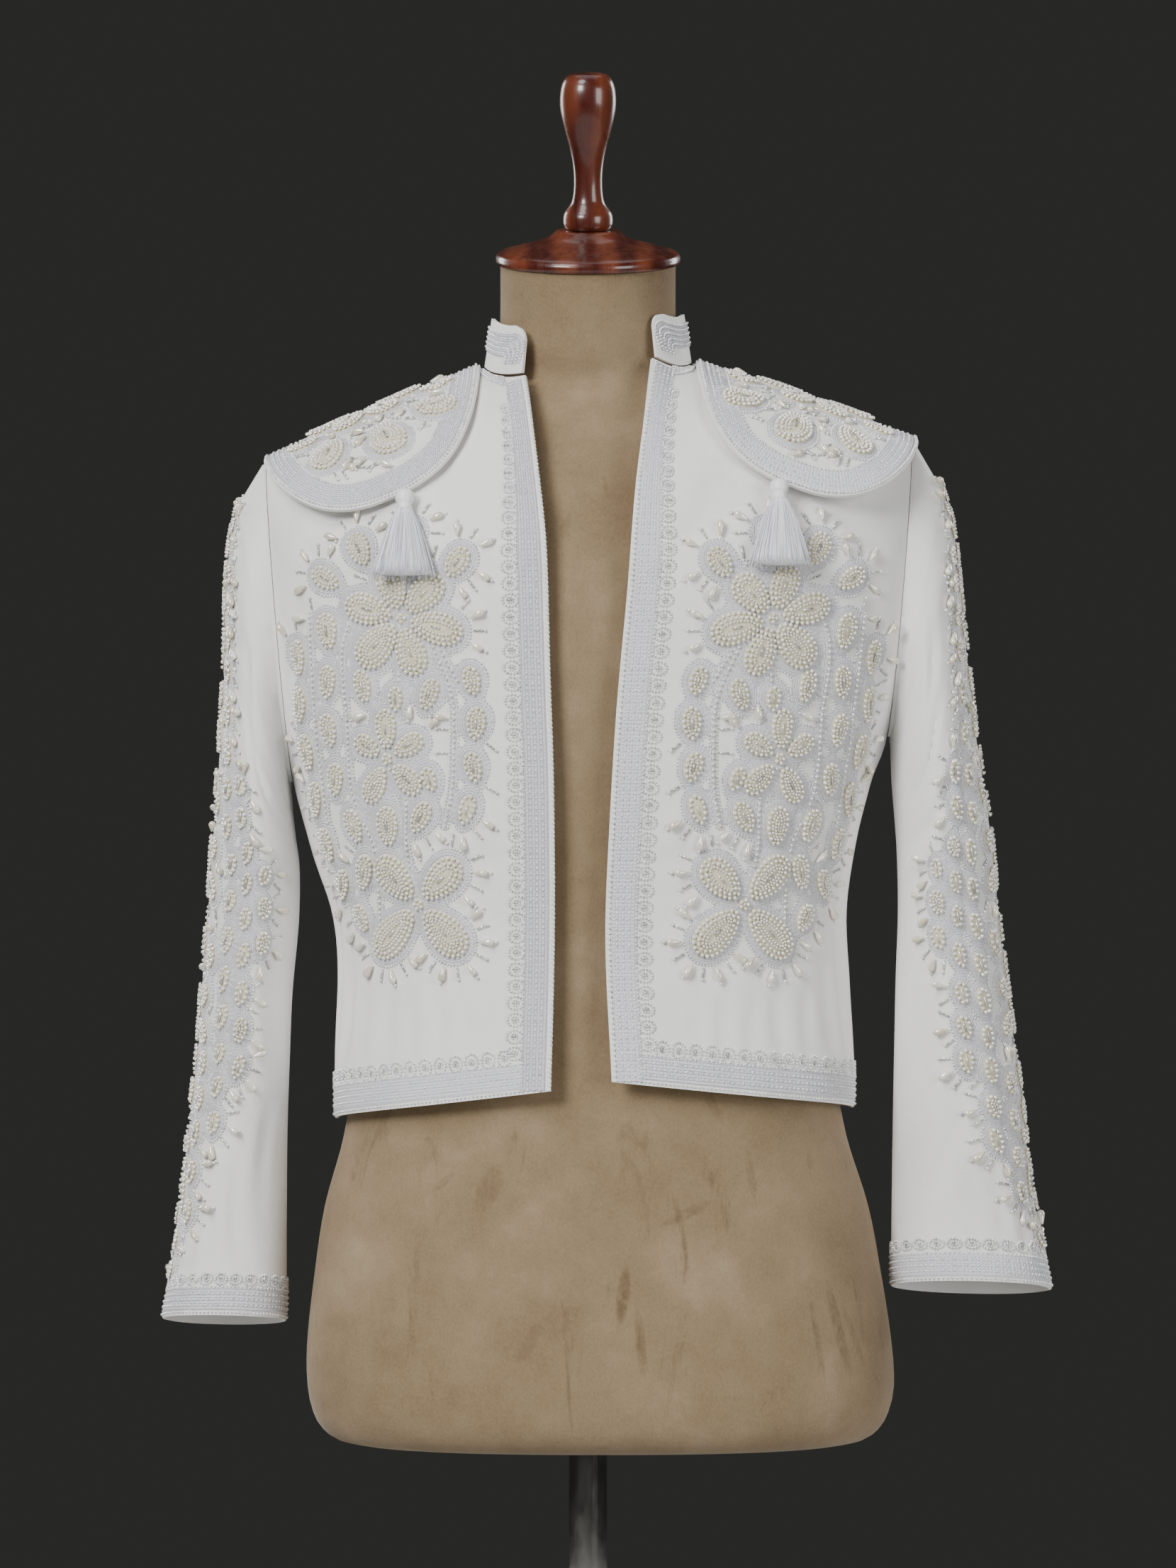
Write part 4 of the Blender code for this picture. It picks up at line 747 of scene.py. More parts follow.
class Finish:
    """A Principled material and short ways of adding nodes to it."""

    def __init__(self, name, colour, roughness, **constants):
        self.material = bpy.data.materials.new(name)
        self.material.use_nodes = True
        self.tree = self.material.node_tree
        self.shader = self.tree.nodes["Principled BSDF"]
        self.set("Base Color", (*colour, 1.0))
        self.set("Roughness", roughness)
        for key, value in constants.items():
            self.set(key.replace("_", " "), value)

    def set(self, socket, value):
        self.shader.inputs[socket].default_value = value

    def node(self, kind, **inputs):
        made = self.tree.nodes.new(kind)
        for key, value in inputs.items():
            socket = made.inputs[key.replace("_", " ")]
            if isinstance(value, bpy.types.NodeSocket):
                self.tree.links.new(value, socket)
            else:
                socket.default_value = value
        return made

    def place(self, source="Object", scale=(1, 1, 1), turn=(0, 0, 0)):
        coordinates = self.tree.nodes.new("ShaderNodeTexCoord")
        mapping = self.node("ShaderNodeMapping", Vector=coordinates.outputs[source], Scale=scale,
                            Rotation=turn)
        return mapping.outputs["Vector"]

    def noise(self, place, scale, detail=3.0, rough=0.5, distortion=0.0):
        made = self.node("ShaderNodeTexNoise", Vector=place, Scale=scale, Detail=detail,
                         Roughness=rough, Distortion=distortion)
        return made.outputs["Fac"]

    def wave(self, place, scale, direction="X", distortion=0.0, detail=0.0, shape="SIN"):
        made = self.node("ShaderNodeTexWave", Vector=place, Scale=scale, Distortion=distortion,
                         Detail=detail)
        made.bands_direction = direction
        made.wave_profile = shape
        return made.outputs["Fac"]

    def ramp(self, factor, *stops):
        made = self.node("ShaderNodeValToRGB", Fac=factor)
        points = made.color_ramp.elements
        while len(points) < len(stops):
            points.new(0.5)
        for point, (position, colour) in zip(points, stops):
            point.position = position
            point.color = (*colour, 1.0) if len(colour) == 3 else colour
        return made.outputs["Color"]

    def grey(self, factor, *stops):
        return self.ramp(factor, *[(position, (value,) * 3) for position, value in stops])

    def blend(self, factor, a, b, mode="MIX"):
        made = self.tree.nodes.new("ShaderNodeMix")
        made.data_type = "RGBA"
        made.blend_type = mode
        made.clamp_factor = True
        for socket, value in ((made.inputs[0], factor), (made.inputs[6], a), (made.inputs[7], b)):
            if isinstance(value, bpy.types.NodeSocket):
                self.tree.links.new(value, socket)
            elif isinstance(value, (int, float)):
                socket.default_value = value
            else:
                socket.default_value = (*value, 1.0)
        return made.outputs[2]

    def math(self, operation, a, b=0.0):
        made = self.tree.nodes.new("ShaderNodeMath")
        made.operation = operation
        for socket, value in zip(made.inputs, (a, b)):
            if isinstance(value, bpy.types.NodeSocket):
                self.tree.links.new(value, socket)
            else:
                socket.default_value = value
        return made.outputs[0]

    def parts(self, vector):
        return self.node("ShaderNodeSeparateXYZ", Vector=vector).outputs

    def tone(self):
        made = self.tree.nodes.new("ShaderNodeAttribute")
        made.attribute_name = "tone"
        return made.outputs["Fac"]

    def bump(self, height, strength, distance, below=None):
        made = self.node("ShaderNodeBump", Height=height, Strength=strength, Distance=distance)
        if below is not None:
            self.tree.links.new(below, made.inputs["Normal"])
        return made.outputs["Normal"]

    def link(self, output, socket):
        self.tree.links.new(output, self.shader.inputs[socket])


def cloth_finish():
    made = Finish("white_twill", (0.86, 0.855, 0.835), 0.58, Sheen_Weight=0.25, Sheen_Roughness=0.4,
                  Specular_IOR_Level=0.35)
    uv = made.place("UV")
    twill = made.wave(made.place("UV", turn=(0, 0, math.radians(58))), 300)
    threads = made.noise(made.place("UV", scale=(900, 260, 1)), 1.0, 2.0)
    mottle = made.noise(uv, 26, 4.0)
    tint = made.ramp(mottle, (0.3, (0.870, 0.862, 0.835)), (0.7, (0.925, 0.918, 0.895)))
    # Base colour: the cloth's own mottled warm white, with the twill lines painted greyer in their grooves
    # as painted shade
    made.link(made.blend(0.10, tint, made.grey(twill, (0.0, 0.64), (1.0, 0.96))), "Base Color")
    made.link(made.grey(threads, (0.2, 0.52), (0.8, 0.68)), "Roughness")
    weave = made.bump(twill, 0.20, 0.0003)
    made.link(made.bump(threads, 0.25, 0.0004, weave), "Normal")
    return made.material


def braid_finish():
    """Chain-stitched cord: u counts the cords, v runs along them in stitches."""
    made = Finish("lavender_white_cord", (0.80, 0.80, 0.86), 0.45, Sheen_Weight=0.3,
                  Sheen_Roughness=0.35)
    across, along, _ = made.parts(made.place("UV"))
    lane = made.math("FRACT", across)
    fold = made.math("ABSOLUTE", made.math("SUBTRACT", lane, 0.5))
    slanted = made.math("ADD", along, made.math("MULTIPLY", fold, 1.5))
    stitch = made.math("ABSOLUTE", made.math("SUBTRACT", made.math("FRACT", slanted), 0.5))
    strands = made.noise(made.place("UV", scale=(14, 5, 1)), 1.0, 2.0)
    seam = made.math("SMOOTH_MIN", made.math("MULTIPLY", fold, 3.0), 1.0)
    raised = made.math("MULTIPLY", made.math("SUBTRACT", 1.0, made.math("MULTIPLY", stitch, 1.5)), seam)
    # The stitch colour follows the bump height: low places are painted darker lavender as painted shade in
    # the grooves, high ones near white
    tint = made.ramp(raised, (0.12, (0.60, 0.60, 0.70)), (0.36, (0.91, 0.91, 0.95)),
                     (0.66, (0.985, 0.985, 0.995)))
    made.link(made.blend(0.14, tint, made.grey(strands, (0.3, 0.80), (0.7, 1.0))), "Base Color")
    made.link(made.grey(strands, (0.3, 0.35), (0.7, 0.55)), "Roughness")
    made.link(made.bump(raised, 0.8, 0.0012), "Normal")
    return made.material


def pearl_finish(name, pale, deep, roughness):
    made = Finish(name, pale, roughness, Coat_Weight=1.0, Coat_Roughness=0.05, Coat_IOR=1.7,
                  Specular_IOR_Level=0.8, Metallic=0.12)
    fine = made.noise(made.place(), 900, 2.0)
    tint = made.blend(made.tone(), pale, deep)
    made.link(made.blend(0.08, tint, made.grey(fine, (0.3, 0.65), (0.7, 0.98))), "Base Color")
    made.link(made.grey(made.tone(), (0.0, roughness), (1.0, roughness + 0.12)), "Roughness")
    return made.material


def pad_finish():
    made = Finish("cream_padding", (0.76, 0.72, 0.58), 0.7, Sheen_Weight=0.2)
    threads = made.noise(made.place("UV", scale=(520, 520, 1)), 1.0, 3.0)
    # The padding's ramp is darker than its own cream: partly its real colour, partly painted shade for the
    # gaps between the pearls laid on it
    made.link(made.ramp(threads, (0.25, (0.60, 0.53, 0.37)), (0.75, (0.78, 0.72, 0.55))), "Base Color")
    made.link(made.bump(threads, 0.5, 0.0006), "Normal")
    return made.material


def bugle_finish():
    made = Finish("silver_bugle", (0.66, 0.66, 0.64), 0.2, Metallic=0.55, Coat_Weight=1.0,
                  Coat_Roughness=0.05)
    made.link(made.blend(made.tone(), (0.82, 0.82, 0.80), (0.44, 0.44, 0.44)), "Base Color")
    made.link(made.grey(made.noise(made.place(), 700), (0.3, 0.10), (0.7, 0.24)), "Roughness")
    return made.material


def silk_finish():
    made = Finish("white_silk", (0.80, 0.80, 0.87), 0.36, Sheen_Weight=0.35, Sheen_Roughness=0.3,
                  Specular_IOR_Level=0.6)
    made.link(made.blend(made.tone(), (0.98, 0.98, 0.99), (0.74, 0.74, 0.86)), "Base Color")
    made.link(made.grey(made.noise(made.place(scale=(1, 1, 0.1)), 900), (0.3, 0.28), (0.7, 0.46)),
              "Roughness")
    return made.material


# Marks on the front of the form, in millimetres and degrees:
# across, up, direction, length, width, strength
SUEDE_MARKS = (
    (173, 458, 104, 74, 8, 0.55), (158, 452, 100, 60, 5, 0.40), (184, 452, 110, 50, 5, 0.35),
    (24, 484, 84, 46, 10, 0.60), (36, 452, 96, 54, 8, 0.50), (68, 540, 25, 42, 8, 0.40),
    (-68, 556, 70, 40, 18, 0.34), (-100, 560, 40, 22, 6, 0.40), (86, 614, 120, 30, 8, 0.30),
    (-40, 452, 60, 34, 12, 0.22), (112, 566, 98, 40, 7, 0.25), (-138, 470, 80, 46, 12, 0.20),
    (6, 700, 86, 60, 9, 0.16), (-16, 1010, 70, 34, 7, 0.18), (12, 1040, 100, 20, 4, 0.25))


def suede_finish():
    made = Finish("tan_suede", (0.31, 0.22, 0.12), 0.92, Sheen_Weight=0.12, Sheen_Roughness=0.5,
                  Specular_IOR_Level=0.2)
    place = made.place()
    nap = made.noise(made.place(scale=(1, 1, 0.8)), 620, 3.0)
    cloudy = made.noise(place, 11, 5.0, 0.66)
    brushed = made.noise(made.place(scale=(5.0, 5.0, 1.1), turn=(0, 0, 0)), 7, 6.0, 0.7, 0.8)
    tint = made.ramp(cloudy, (0.30, (0.185, 0.126, 0.068)), (0.55, (0.262, 0.188, 0.110)),
                     (0.78, (0.360, 0.278, 0.180)))
    tint = made.blend(0.16, tint, made.ramp(nap, (0.3, (0.14, 0.10, 0.055)), (0.7, (0.40, 0.31, 0.20))))
    x, y, height = made.parts(place)
    front = made.math("LESS_THAN", y, 0.0)
    hips = made.grey(height, (0.36, 0.0), (0.42, 1.0), (0.56, 1.0), (0.64, 0.25), (1.0, 0.12))
    marks = made.grey(brushed, (0.60, 0.0), (0.70, 1.0))
    strength = made.math("MULTIPLY", made.math("MULTIPLY", marks, hips), 0.55)
    tint = made.blend(strength, tint, (0.100, 0.064, 0.032))
    flecks = made.noise(made.place(scale=(1, 1, 0.5)), 160, 4.0, 0.7)
    ragged = made.grey(flecks, (0.38, 0.25), (0.62, 1.0))
    for across, up, direction, length, width, depth in SUEDE_MARKS:
        c, s = math.cos(math.radians(direction)), math.sin(math.radians(direction))
        a = made.math("SUBTRACT", x, across * MM)
        b = made.math("SUBTRACT", height, up * MM)
        along = made.math("ADD", made.math("MULTIPLY", a, c), made.math("MULTIPLY", b, s))
        aside = made.math("SUBTRACT", made.math("MULTIPLY", b, c), made.math("MULTIPLY", a, s))
        shares = [made.math("ABSOLUTE", made.math("DIVIDE", far, size / 2 * MM))
                  for far, size in ((along, length), (aside, width))]
        away = made.math("ADD", *[made.math("POWER", share, 2.0) for share in shares])
        fade = made.grey(away, (0.0, depth), (0.55, depth * 0.7), (1.0, 0.0))
        fade = made.math("MULTIPLY", made.math("MULTIPLY", fade, ragged), front)
        tint = made.blend(fade, tint, (0.075, 0.044, 0.020))
    made.link(tint, "Base Color")
    made.link(made.bump(nap, 0.35, 0.0008, made.bump(cloudy, 0.15, 0.002)), "Normal")
    return made.material


def wood_finish():
    made = Finish("red_brown_wood", (0.10, 0.02, 0.012), 0.30, Coat_Weight=0.3, Coat_Roughness=0.05,
                  Coat_IOR=1.55)
    grain = made.noise(made.place(scale=(34, 34, 3.2)), 3.2, 6.0, 0.6, 1.2)
    figure = made.wave(made.place(scale=(1, 1, 0.16)), 11, "X", 7.0, 3.0)
    dark = made.ramp(grain, (0.3, (0.018, 0.004, 0.003)), (0.55, (0.070, 0.014, 0.008)),
                     (0.8, (0.15, 0.034, 0.014)))
    light = made.ramp(figure, (0.2, (0.06, 0.011, 0.007)), (0.9, (0.24, 0.062, 0.026)))
    made.link(made.blend(0.42, dark, light), "Base Color")
    made.link(made.grey(grain, (0.3, 0.22), (0.7, 0.36)), "Roughness")
    made.link(made.bump(grain, 0.05, 0.0005), "Normal")
    return made.material


def chrome_finish():
    made = Finish("polished_steel", (0.62, 0.62, 0.60), 0.10, Metallic=1.0)
    rubbed = made.noise(made.place(scale=(3, 3, 1)), 30, 4.0)
    made.link(made.ramp(rubbed, (0.3, (0.36, 0.35, 0.33)), (0.7, (0.46, 0.45, 0.43))), "Base Color")
    made.link(made.grey(rubbed, (0.3, 0.08), (0.7, 0.14)), "Roughness")
    return made.material


def base_finish():
    made = Finish("dark_painted_steel", (0.045, 0.045, 0.046), 0.4, Metallic=0.4)
    speckle = made.noise(made.place(), 420, 3.0)
    worn = made.noise(made.place(), 14, 5.0, 0.6)
    made.link(made.ramp(worn, (0.35, (0.035, 0.035, 0.036)), (0.75, (0.075, 0.073, 0.07))), "Base Color")
    made.link(made.grey(speckle, (0.3, 0.34), (0.7, 0.52)), "Roughness")
    made.link(made.bump(speckle, 0.2, 0.0003), "Normal")
    return made.material


def floor_finish():
    made = Finish("pale_floor", (0.52, 0.52, 0.50), 0.9, Specular_IOR_Level=0.1)
    made.link(made.ramp(made.noise(made.place(), 3, 4.0), (0.3, (0.50, 0.50, 0.48)),
                        (0.7, (0.54, 0.54, 0.52))), "Base Color")
    return made.material


FINISHES = {
    "cloth": cloth_finish(), "braid": braid_finish(), "pad": pad_finish(), "bugle": bugle_finish(),
    "pearl": pearl_finish("ivory_pearl", (0.985, 0.97, 0.91), (0.84, 0.80, 0.68), 0.18),
    "drop": pearl_finish("ivory_drop", (0.95, 0.91, 0.77), (0.76, 0.70, 0.52), 0.15),
    "seed": pearl_finish("white_seed_bead", (0.985, 0.985, 0.99), (0.66, 0.66, 0.70), 0.15),
    "silk": silk_finish(), "suede": suede_finish(), "wood": wood_finish(), "chrome": chrome_finish(),
    "base": base_finish()}


# Meshes from arrays

def add_piece(name, verts, faces, finish, uvs=None, tones=None, replaces=(), loop_uvs=None):
    """A piece from arrays: all faces have the same number of corners."""
    mesh = bpy.data.meshes.new(name)
    verts, faces = np.asarray(verts, np.float32), np.asarray(faces, np.int32)
    corners = faces.shape[1]
    mesh.vertices.add(len(verts))
    mesh.vertices.foreach_set("co", verts.ravel())
    mesh.loops.add(faces.size)
    mesh.loops.foreach_set("vertex_index", faces.ravel())
    mesh.polygons.add(len(faces))
    mesh.polygons.foreach_set("loop_start", np.arange(0, faces.size, corners, dtype=np.int32))
    if uvs is not None:
        loop_uvs = np.asarray(uvs, np.float32)[faces.ravel()]
    if loop_uvs is not None:
        layer = mesh.uv_layers.new(name="cloth")
        layer.uv.foreach_set("vector", np.asarray(loop_uvs, np.float32).ravel())
    if tones is not None:
        tone = mesh.attributes.new("tone", "FLOAT", "POINT")
        tone.data.foreach_set("value", np.asarray(tones, np.float32))
    mesh.update(calc_edges=True)
    mesh.shade_smooth()
    mesh.materials.append(FINISHES[finish])
    piece = bpy.data.objects.new(name, mesh)
    bpy.context.scene.collection.objects.link(piece)
    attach(piece, "root")
    if replaces:
        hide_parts(*replaces)
    return piece


def quads(index):
    """The quads of a grid of vertex numbers."""
    corners = [index[:-1, :-1], index[:-1, 1:], index[1:, 1:], index[1:, :-1]]
    return np.stack(corners, axis=-1).reshape(-1, 4)


def add_shell(name, points, normals, wall, uvs, finish, replaces, closed=False):
    """A cloth panel with its thickness, from a grid of points."""
    rows, columns = points.shape[:2]
    count = rows * columns
    index = np.arange(count).reshape(rows, columns)
    wide = np.concatenate([index, index[:, :1]], axis=1) if closed else index
    outer = quads(wide)
    inner = quads(wide)[:, ::-1] + count
    rims = [np.stack([wide[0, 1:], wide[0, :-1], wide[0, :-1] + count, wide[0, 1:] + count], axis=-1),
            np.stack([wide[-1, :-1], wide[-1, 1:], wide[-1, 1:] + count, wide[-1, :-1] + count], axis=-1)]
    if not closed:
        rims += [np.stack([wide[:-1, 0], wide[1:, 0], wide[1:, 0] + count, wide[:-1, 0] + count], axis=-1),
                 np.stack([wide[1:, -1], wide[:-1, -1], wide[:-1, -1] + count, wide[1:, -1] + count],
                          axis=-1)]
    faces = np.concatenate([outer, inner, *rims])
    verts = np.concatenate([points.reshape(-1, 3), (points - normals * wall).reshape(-1, 3)])
    first = outer[len(outer) // 2]
    a, b, c = verts[first[0]], verts[first[1]], verts[first[2]]
    if np.dot(np.cross(b - a, c - a), normals.reshape(-1, 3)[first[0]]) < 0:
        faces = faces[:, ::-1]
    flat = uvs.reshape(-1, 2)
    piece = add_piece(name, verts, faces, finish, np.concatenate([flat, flat]), replaces=replaces)
    piece.data.set_sharp_from_angle(angle=math.radians(50))
    return piece


# Small repeated shapes. Each lies on the cloth with its middle on z and its length along x.

def ball(spokes, angles, sink):
    """A round bead without its hidden underside; sink is how high its middle stands."""
    verts, faces = [(0.0, 0.0, 1.0)], []
    for angle in angles:
        t = math.radians(angle)
        verts += [(math.sin(t) * math.cos(2 * math.pi * i / spokes),
                   math.sin(t) * math.sin(2 * math.pi * i / spokes), math.cos(t)) for i in range(spokes)]
    for i in range(spokes):
        j = (i + 1) % spokes
        faces.append((0, 1 + i, 1 + j))
        for ring in range(len(angles) - 1):
            a, b = 1 + ring * spokes, 1 + (ring + 1) * spokes
            faces += [(a + i, b + i, b + j), (a + i, b + j, a + j)]
    verts = np.array(verts)
    verts[:, 2] += sink
    return verts, np.array(faces)


def spindle(profile, spokes, start_cap, end_cap):
    """A turned shape lying along x: (place, radius) pairs."""
    verts, faces = [], []
    for x, radius in profile:
        verts += [(x, radius * math.cos(2 * math.pi * i / spokes),
                   radius * math.sin(2 * math.pi * i / spokes)) for i in range(spokes)]
    for ring in range(len(profile) - 1):
        a, b = ring * spokes, (ring + 1) * spokes
        for i in range(spokes):
            j = (i + 1) % spokes
            faces += [(a + i, a + j, b + j), (a + i, b + j, b + i)]
    for wanted, x, ring in ((start_cap, profile[0][0], 0), (end_cap, profile[-1][0], len(profile) - 1)):
        if wanted:
            hub = len(verts)
            verts.append((x, 0.0, 0.0))
            for i in range(spokes):
                a, b = ring * spokes + i, ring * spokes + (i + 1) % spokes
                faces.append((hub, b, a) if ring == 0 else (hub, a, b))
    verts = np.array(verts, float)
    verts[:, 2] += max(radius for _, radius in profile)
    return verts, np.array(faces)


SHAPES = {
    "pearl": ball(7, (41, 104), 0.50),
    "seed": ball(5, (50, 108), 0.50),
    "drop": spindle(((0.0, 0.05), (0.16, 0.105), (0.42, 0.185), (0.68, 0.245), (0.86, 0.205),
                     (0.97, 0.09)), 8, True, True),
    "bugle": spindle(((0.0, 0.115), (1.0, 0.115)), 6, True, True)}


class Heap:
    """Copies of the small shapes, gathered by kind into joined meshes."""

    def __init__(self, seed):
        self.copies = {kind: [] for kind in SHAPES}
        self.chance = np.random.default_rng(seed)

    def add(self, kind, origins, normals, along, size):
        count = len(origins)
        if count:
            sizes = size * (1 + 0.05 * self.chance.standard_normal(count).clip(-2, 2))
            self.copies[kind].append((origins, normals, along, sizes))

    def round(self, kind, origins, normals, diameter):
        """Beads with no direction."""
        along = np.cross(normals, self.chance.standard_normal((len(origins), 3)))
        self.add(kind, origins, normals, along, diameter / 2)

    def make(self, name):
        for kind, (verts, faces) in SHAPES.items():
            if not self.copies[kind]:
                continue
            origins, normals, along, sizes = (np.concatenate(part) for part in zip(*self.copies[kind]))
            z = unit(normals)
            x = unit(along - (along * z).sum(-1, keepdims=True) * z)
            y = np.cross(z, x)
            shape = verts[None] * sizes[:, None, None]
            placed = (origins[:, None] + shape[..., :1] * x[:, None] + shape[..., 1:2] * y[:, None]
                      + shape[..., 2:] * z[:, None])
            numbers = faces[None] + (np.arange(len(origins)) * len(verts))[:, None, None]
            tones = np.repeat(self.chance.random(len(origins)) ** 1.5, len(verts))
            add_piece(f"{name}_{kind}s", placed.reshape(-1, 3), numbers.reshape(-1, 3), kind,
                      tones=tones)


class Strips:
    """Cords, braid and padding gathered into one mesh of quads."""

    def __init__(self):
        self.verts, self.faces, self.uvs, self.count = [], [], [], 0

    def add(self, grid, uvs, keep=None):
        rows, columns = grid.shape[:2]
        index = np.arange(rows * columns).reshape(rows, columns) + self.count
        faces = quads(index)
        if keep is not None:
            faces = faces[np.repeat(keep[:-1] & keep[1:], columns - 1)]
        self.verts.append(grid.reshape(-1, 3))
        self.uvs.append(uvs.reshape(-1, 2))
        self.faces.append(faces)
        self.count += rows * columns

    def make(self, name, finish, replaces=()):
        return add_piece(name, np.concatenate(self.verts), np.concatenate(self.faces), finish,
                         np.concatenate(self.uvs), replaces=replaces)


STITCH = 2.4 * MM


def cord_profile(width, height):
    """Half-round cross-section: (offset, lift, lane)."""
    steps = 6
    rows = []
    for i in range(steps + 1):
        angle = math.pi * i / steps
        rows.append((-width / 2 * math.cos(angle), 0.0002 + height * math.sin(angle) ** 0.7, i / steps))
    return np.array(rows)


def lay_cord(strips, cloth, path, aside, width, height, keep=None, lane=0):
    """A chain-stitched cord along a path of (across, up) places."""
    profile = cord_profile(width, height)
    places = path[:, None, :] + aside[:, None, :] * profile[None, :, 0:1]
    grid = cloth.lay(places, profile[None, :, 1])
    along = np.concatenate([[0.0], np.cumsum(np.linalg.norm(np.diff(path, axis=0), axis=-1))])
    round_it = profile[None, :, 2] * 0.999 + lane
    uvs = np.stack(np.broadcast_arrays(round_it, along[:, None] / STITCH), axis=-1)
    strips.add(grid, uvs, keep)


def sides_of(path, closed=False):
    """Unit vectors to the right of a path, in the plane of the cloth."""
    if closed:
        tangent = np.roll(path, -1, axis=0) - np.roll(path, 1, axis=0)
    else:
        tangent = np.gradient(path, axis=0)
    tangent = unit(tangent)
    return np.stack([tangent[:, 1], -tangent[:, 0]], axis=-1)


def even_path(points, pitch, closed=False):
    """The path cut into equal steps."""
    if closed:
        points = np.concatenate([points, points[:1]])
    walked = np.concatenate([[0.0], np.cumsum(np.linalg.norm(np.diff(points, axis=0), axis=-1))])
    count = max(3, int(round(walked[-1] / pitch)))
    stations = np.linspace(0, walked[-1], count + 1)
    if closed:
        stations = stations[:-1]
    return np.stack([np.interp(stations, walked, points[:, i]) for i in range(points.shape[1])], axis=-1)


def smooth_path(points, steps=14):
    """A curve through a few places."""
    points = np.array(points, float) * MM
    padded = np.concatenate([[2 * points[0] - points[1]], points, [2 * points[-1] - points[-2]]])
    made = []
    for i in range(1, len(padded) - 2):
        a, b, c, d = padded[i - 1:i + 3]
        for t in np.linspace(0, 1, steps, endpoint=False):
            made.append(0.5 * (2 * b + (c - a) * t + (2 * a - 5 * b + 4 * c - d) * t**2
                               + (3 * b - a - 3 * c + d) * t**3))
    made.append(points[-1])
    return np.array(made)


# Beaded leaves and petals

PEARL = 2.9 * MM
PEARL_PITCH = 3.75 * MM
SMALL_PEARL = 2.0 * MM
SMALL_PITCH = 2.35 * MM
SEED = 1.8 * MM
SEED_PITCH = 2.4 * MM
GROUND_WIDTH = 5.2 * MM
GROUND_LIFT = 1.15 * MM
GROUND_GRID = 1.6 * MM
STEM_WIDTH = 2.9 * MM
LANE = 1.75 * MM
BLEND = 1.6 * MM
PAD_LIFT = 0.9 * MM
DROP_LENGTH = 10.6 * MM
BUGLE_LENGTH = 6.8 * MM
RAY_PITCH = 8.0 * MM
TIP_BEAD = 2.7 * MM


class Leaf:
    """A padded leaf or petal on the cloth, wider towards the end that it points to."""

    grow = GROUND_WIDTH

    def __init__(self, across, up, direction, length, width, taper=0.2):
        self.centre = np.array((across, up), float)
        self.turn = math.radians(direction)
        self.half_length, self.half_width, self.taper = length / 2, width / 2, taper

    def outline(self, grow, count=72):
        turn = np.linspace(0, 2 * math.pi, count, endpoint=False)
        along = (self.half_length + grow) * np.cos(turn)
        aside = (self.half_width + grow) * np.sin(turn) * (1 + self.taper * np.cos(turn))
        c, s = math.cos(self.turn), math.sin(self.turn)
        return self.centre + np.stack([along * c - aside * s, along * s + aside * c], axis=-1)

    def own_place(self, places):
        away = places - self.centre
        c, s = math.cos(self.turn), math.sin(self.turn)
        along = away[..., 0] * c + away[..., 1] * s
        aside = -away[..., 0] * s + away[..., 1] * c
        share = np.clip(along / self.half_length, -1, 1)
        return along, aside, self.half_width * (1 + self.taper * share)

    def distance(self, places):
        along, aside, half_width = self.own_place(places)
        size = np.maximum(np.hypot(along / self.half_length, aside / half_width), 1e-4)
        return np.hypot(along, aside) * (1 - 1 / size)

    def around(self, places):
        along, aside, half_width = self.own_place(places)
        return np.arctan2(aside / half_width, along / self.half_length)

    def girth(self):
        return (self.half_length + self.half_width + 2 * LANE) / 2

    def covers(self, places, grow):
        return self.distance(places) < grow

    def pad_lift(self, share):
        """Height of the padding at a share of the leaf's size from its middle."""
        height = min(3.0 * MM, 0.20 * self.half_width + 0.5 * MM)
        return PAD_LIFT + height * np.sqrt(np.maximum(0.0, 1 - share * share))


class Stem:
    """A narrow stitched path with a row of pearls along it."""

    grow = STEM_WIDTH

    def __init__(self, points):
        self.path = even_path(smooth_path(points), 2.5 * MM)
        self.walked = 2.5 * MM * np.arange(len(self.path))

    def nearest(self, places):
        flat = places.reshape(-1, 2)
        away = ((flat[:, None, :] - self.path[None]) ** 2).sum(-1)
        chosen = away.argmin(1)
        return (np.sqrt(away[np.arange(len(flat)), chosen]).reshape(places.shape[:-1]),
                self.walked[chosen].reshape(places.shape[:-1]))

    def distance(self, places):
        return self.nearest(places)[0]


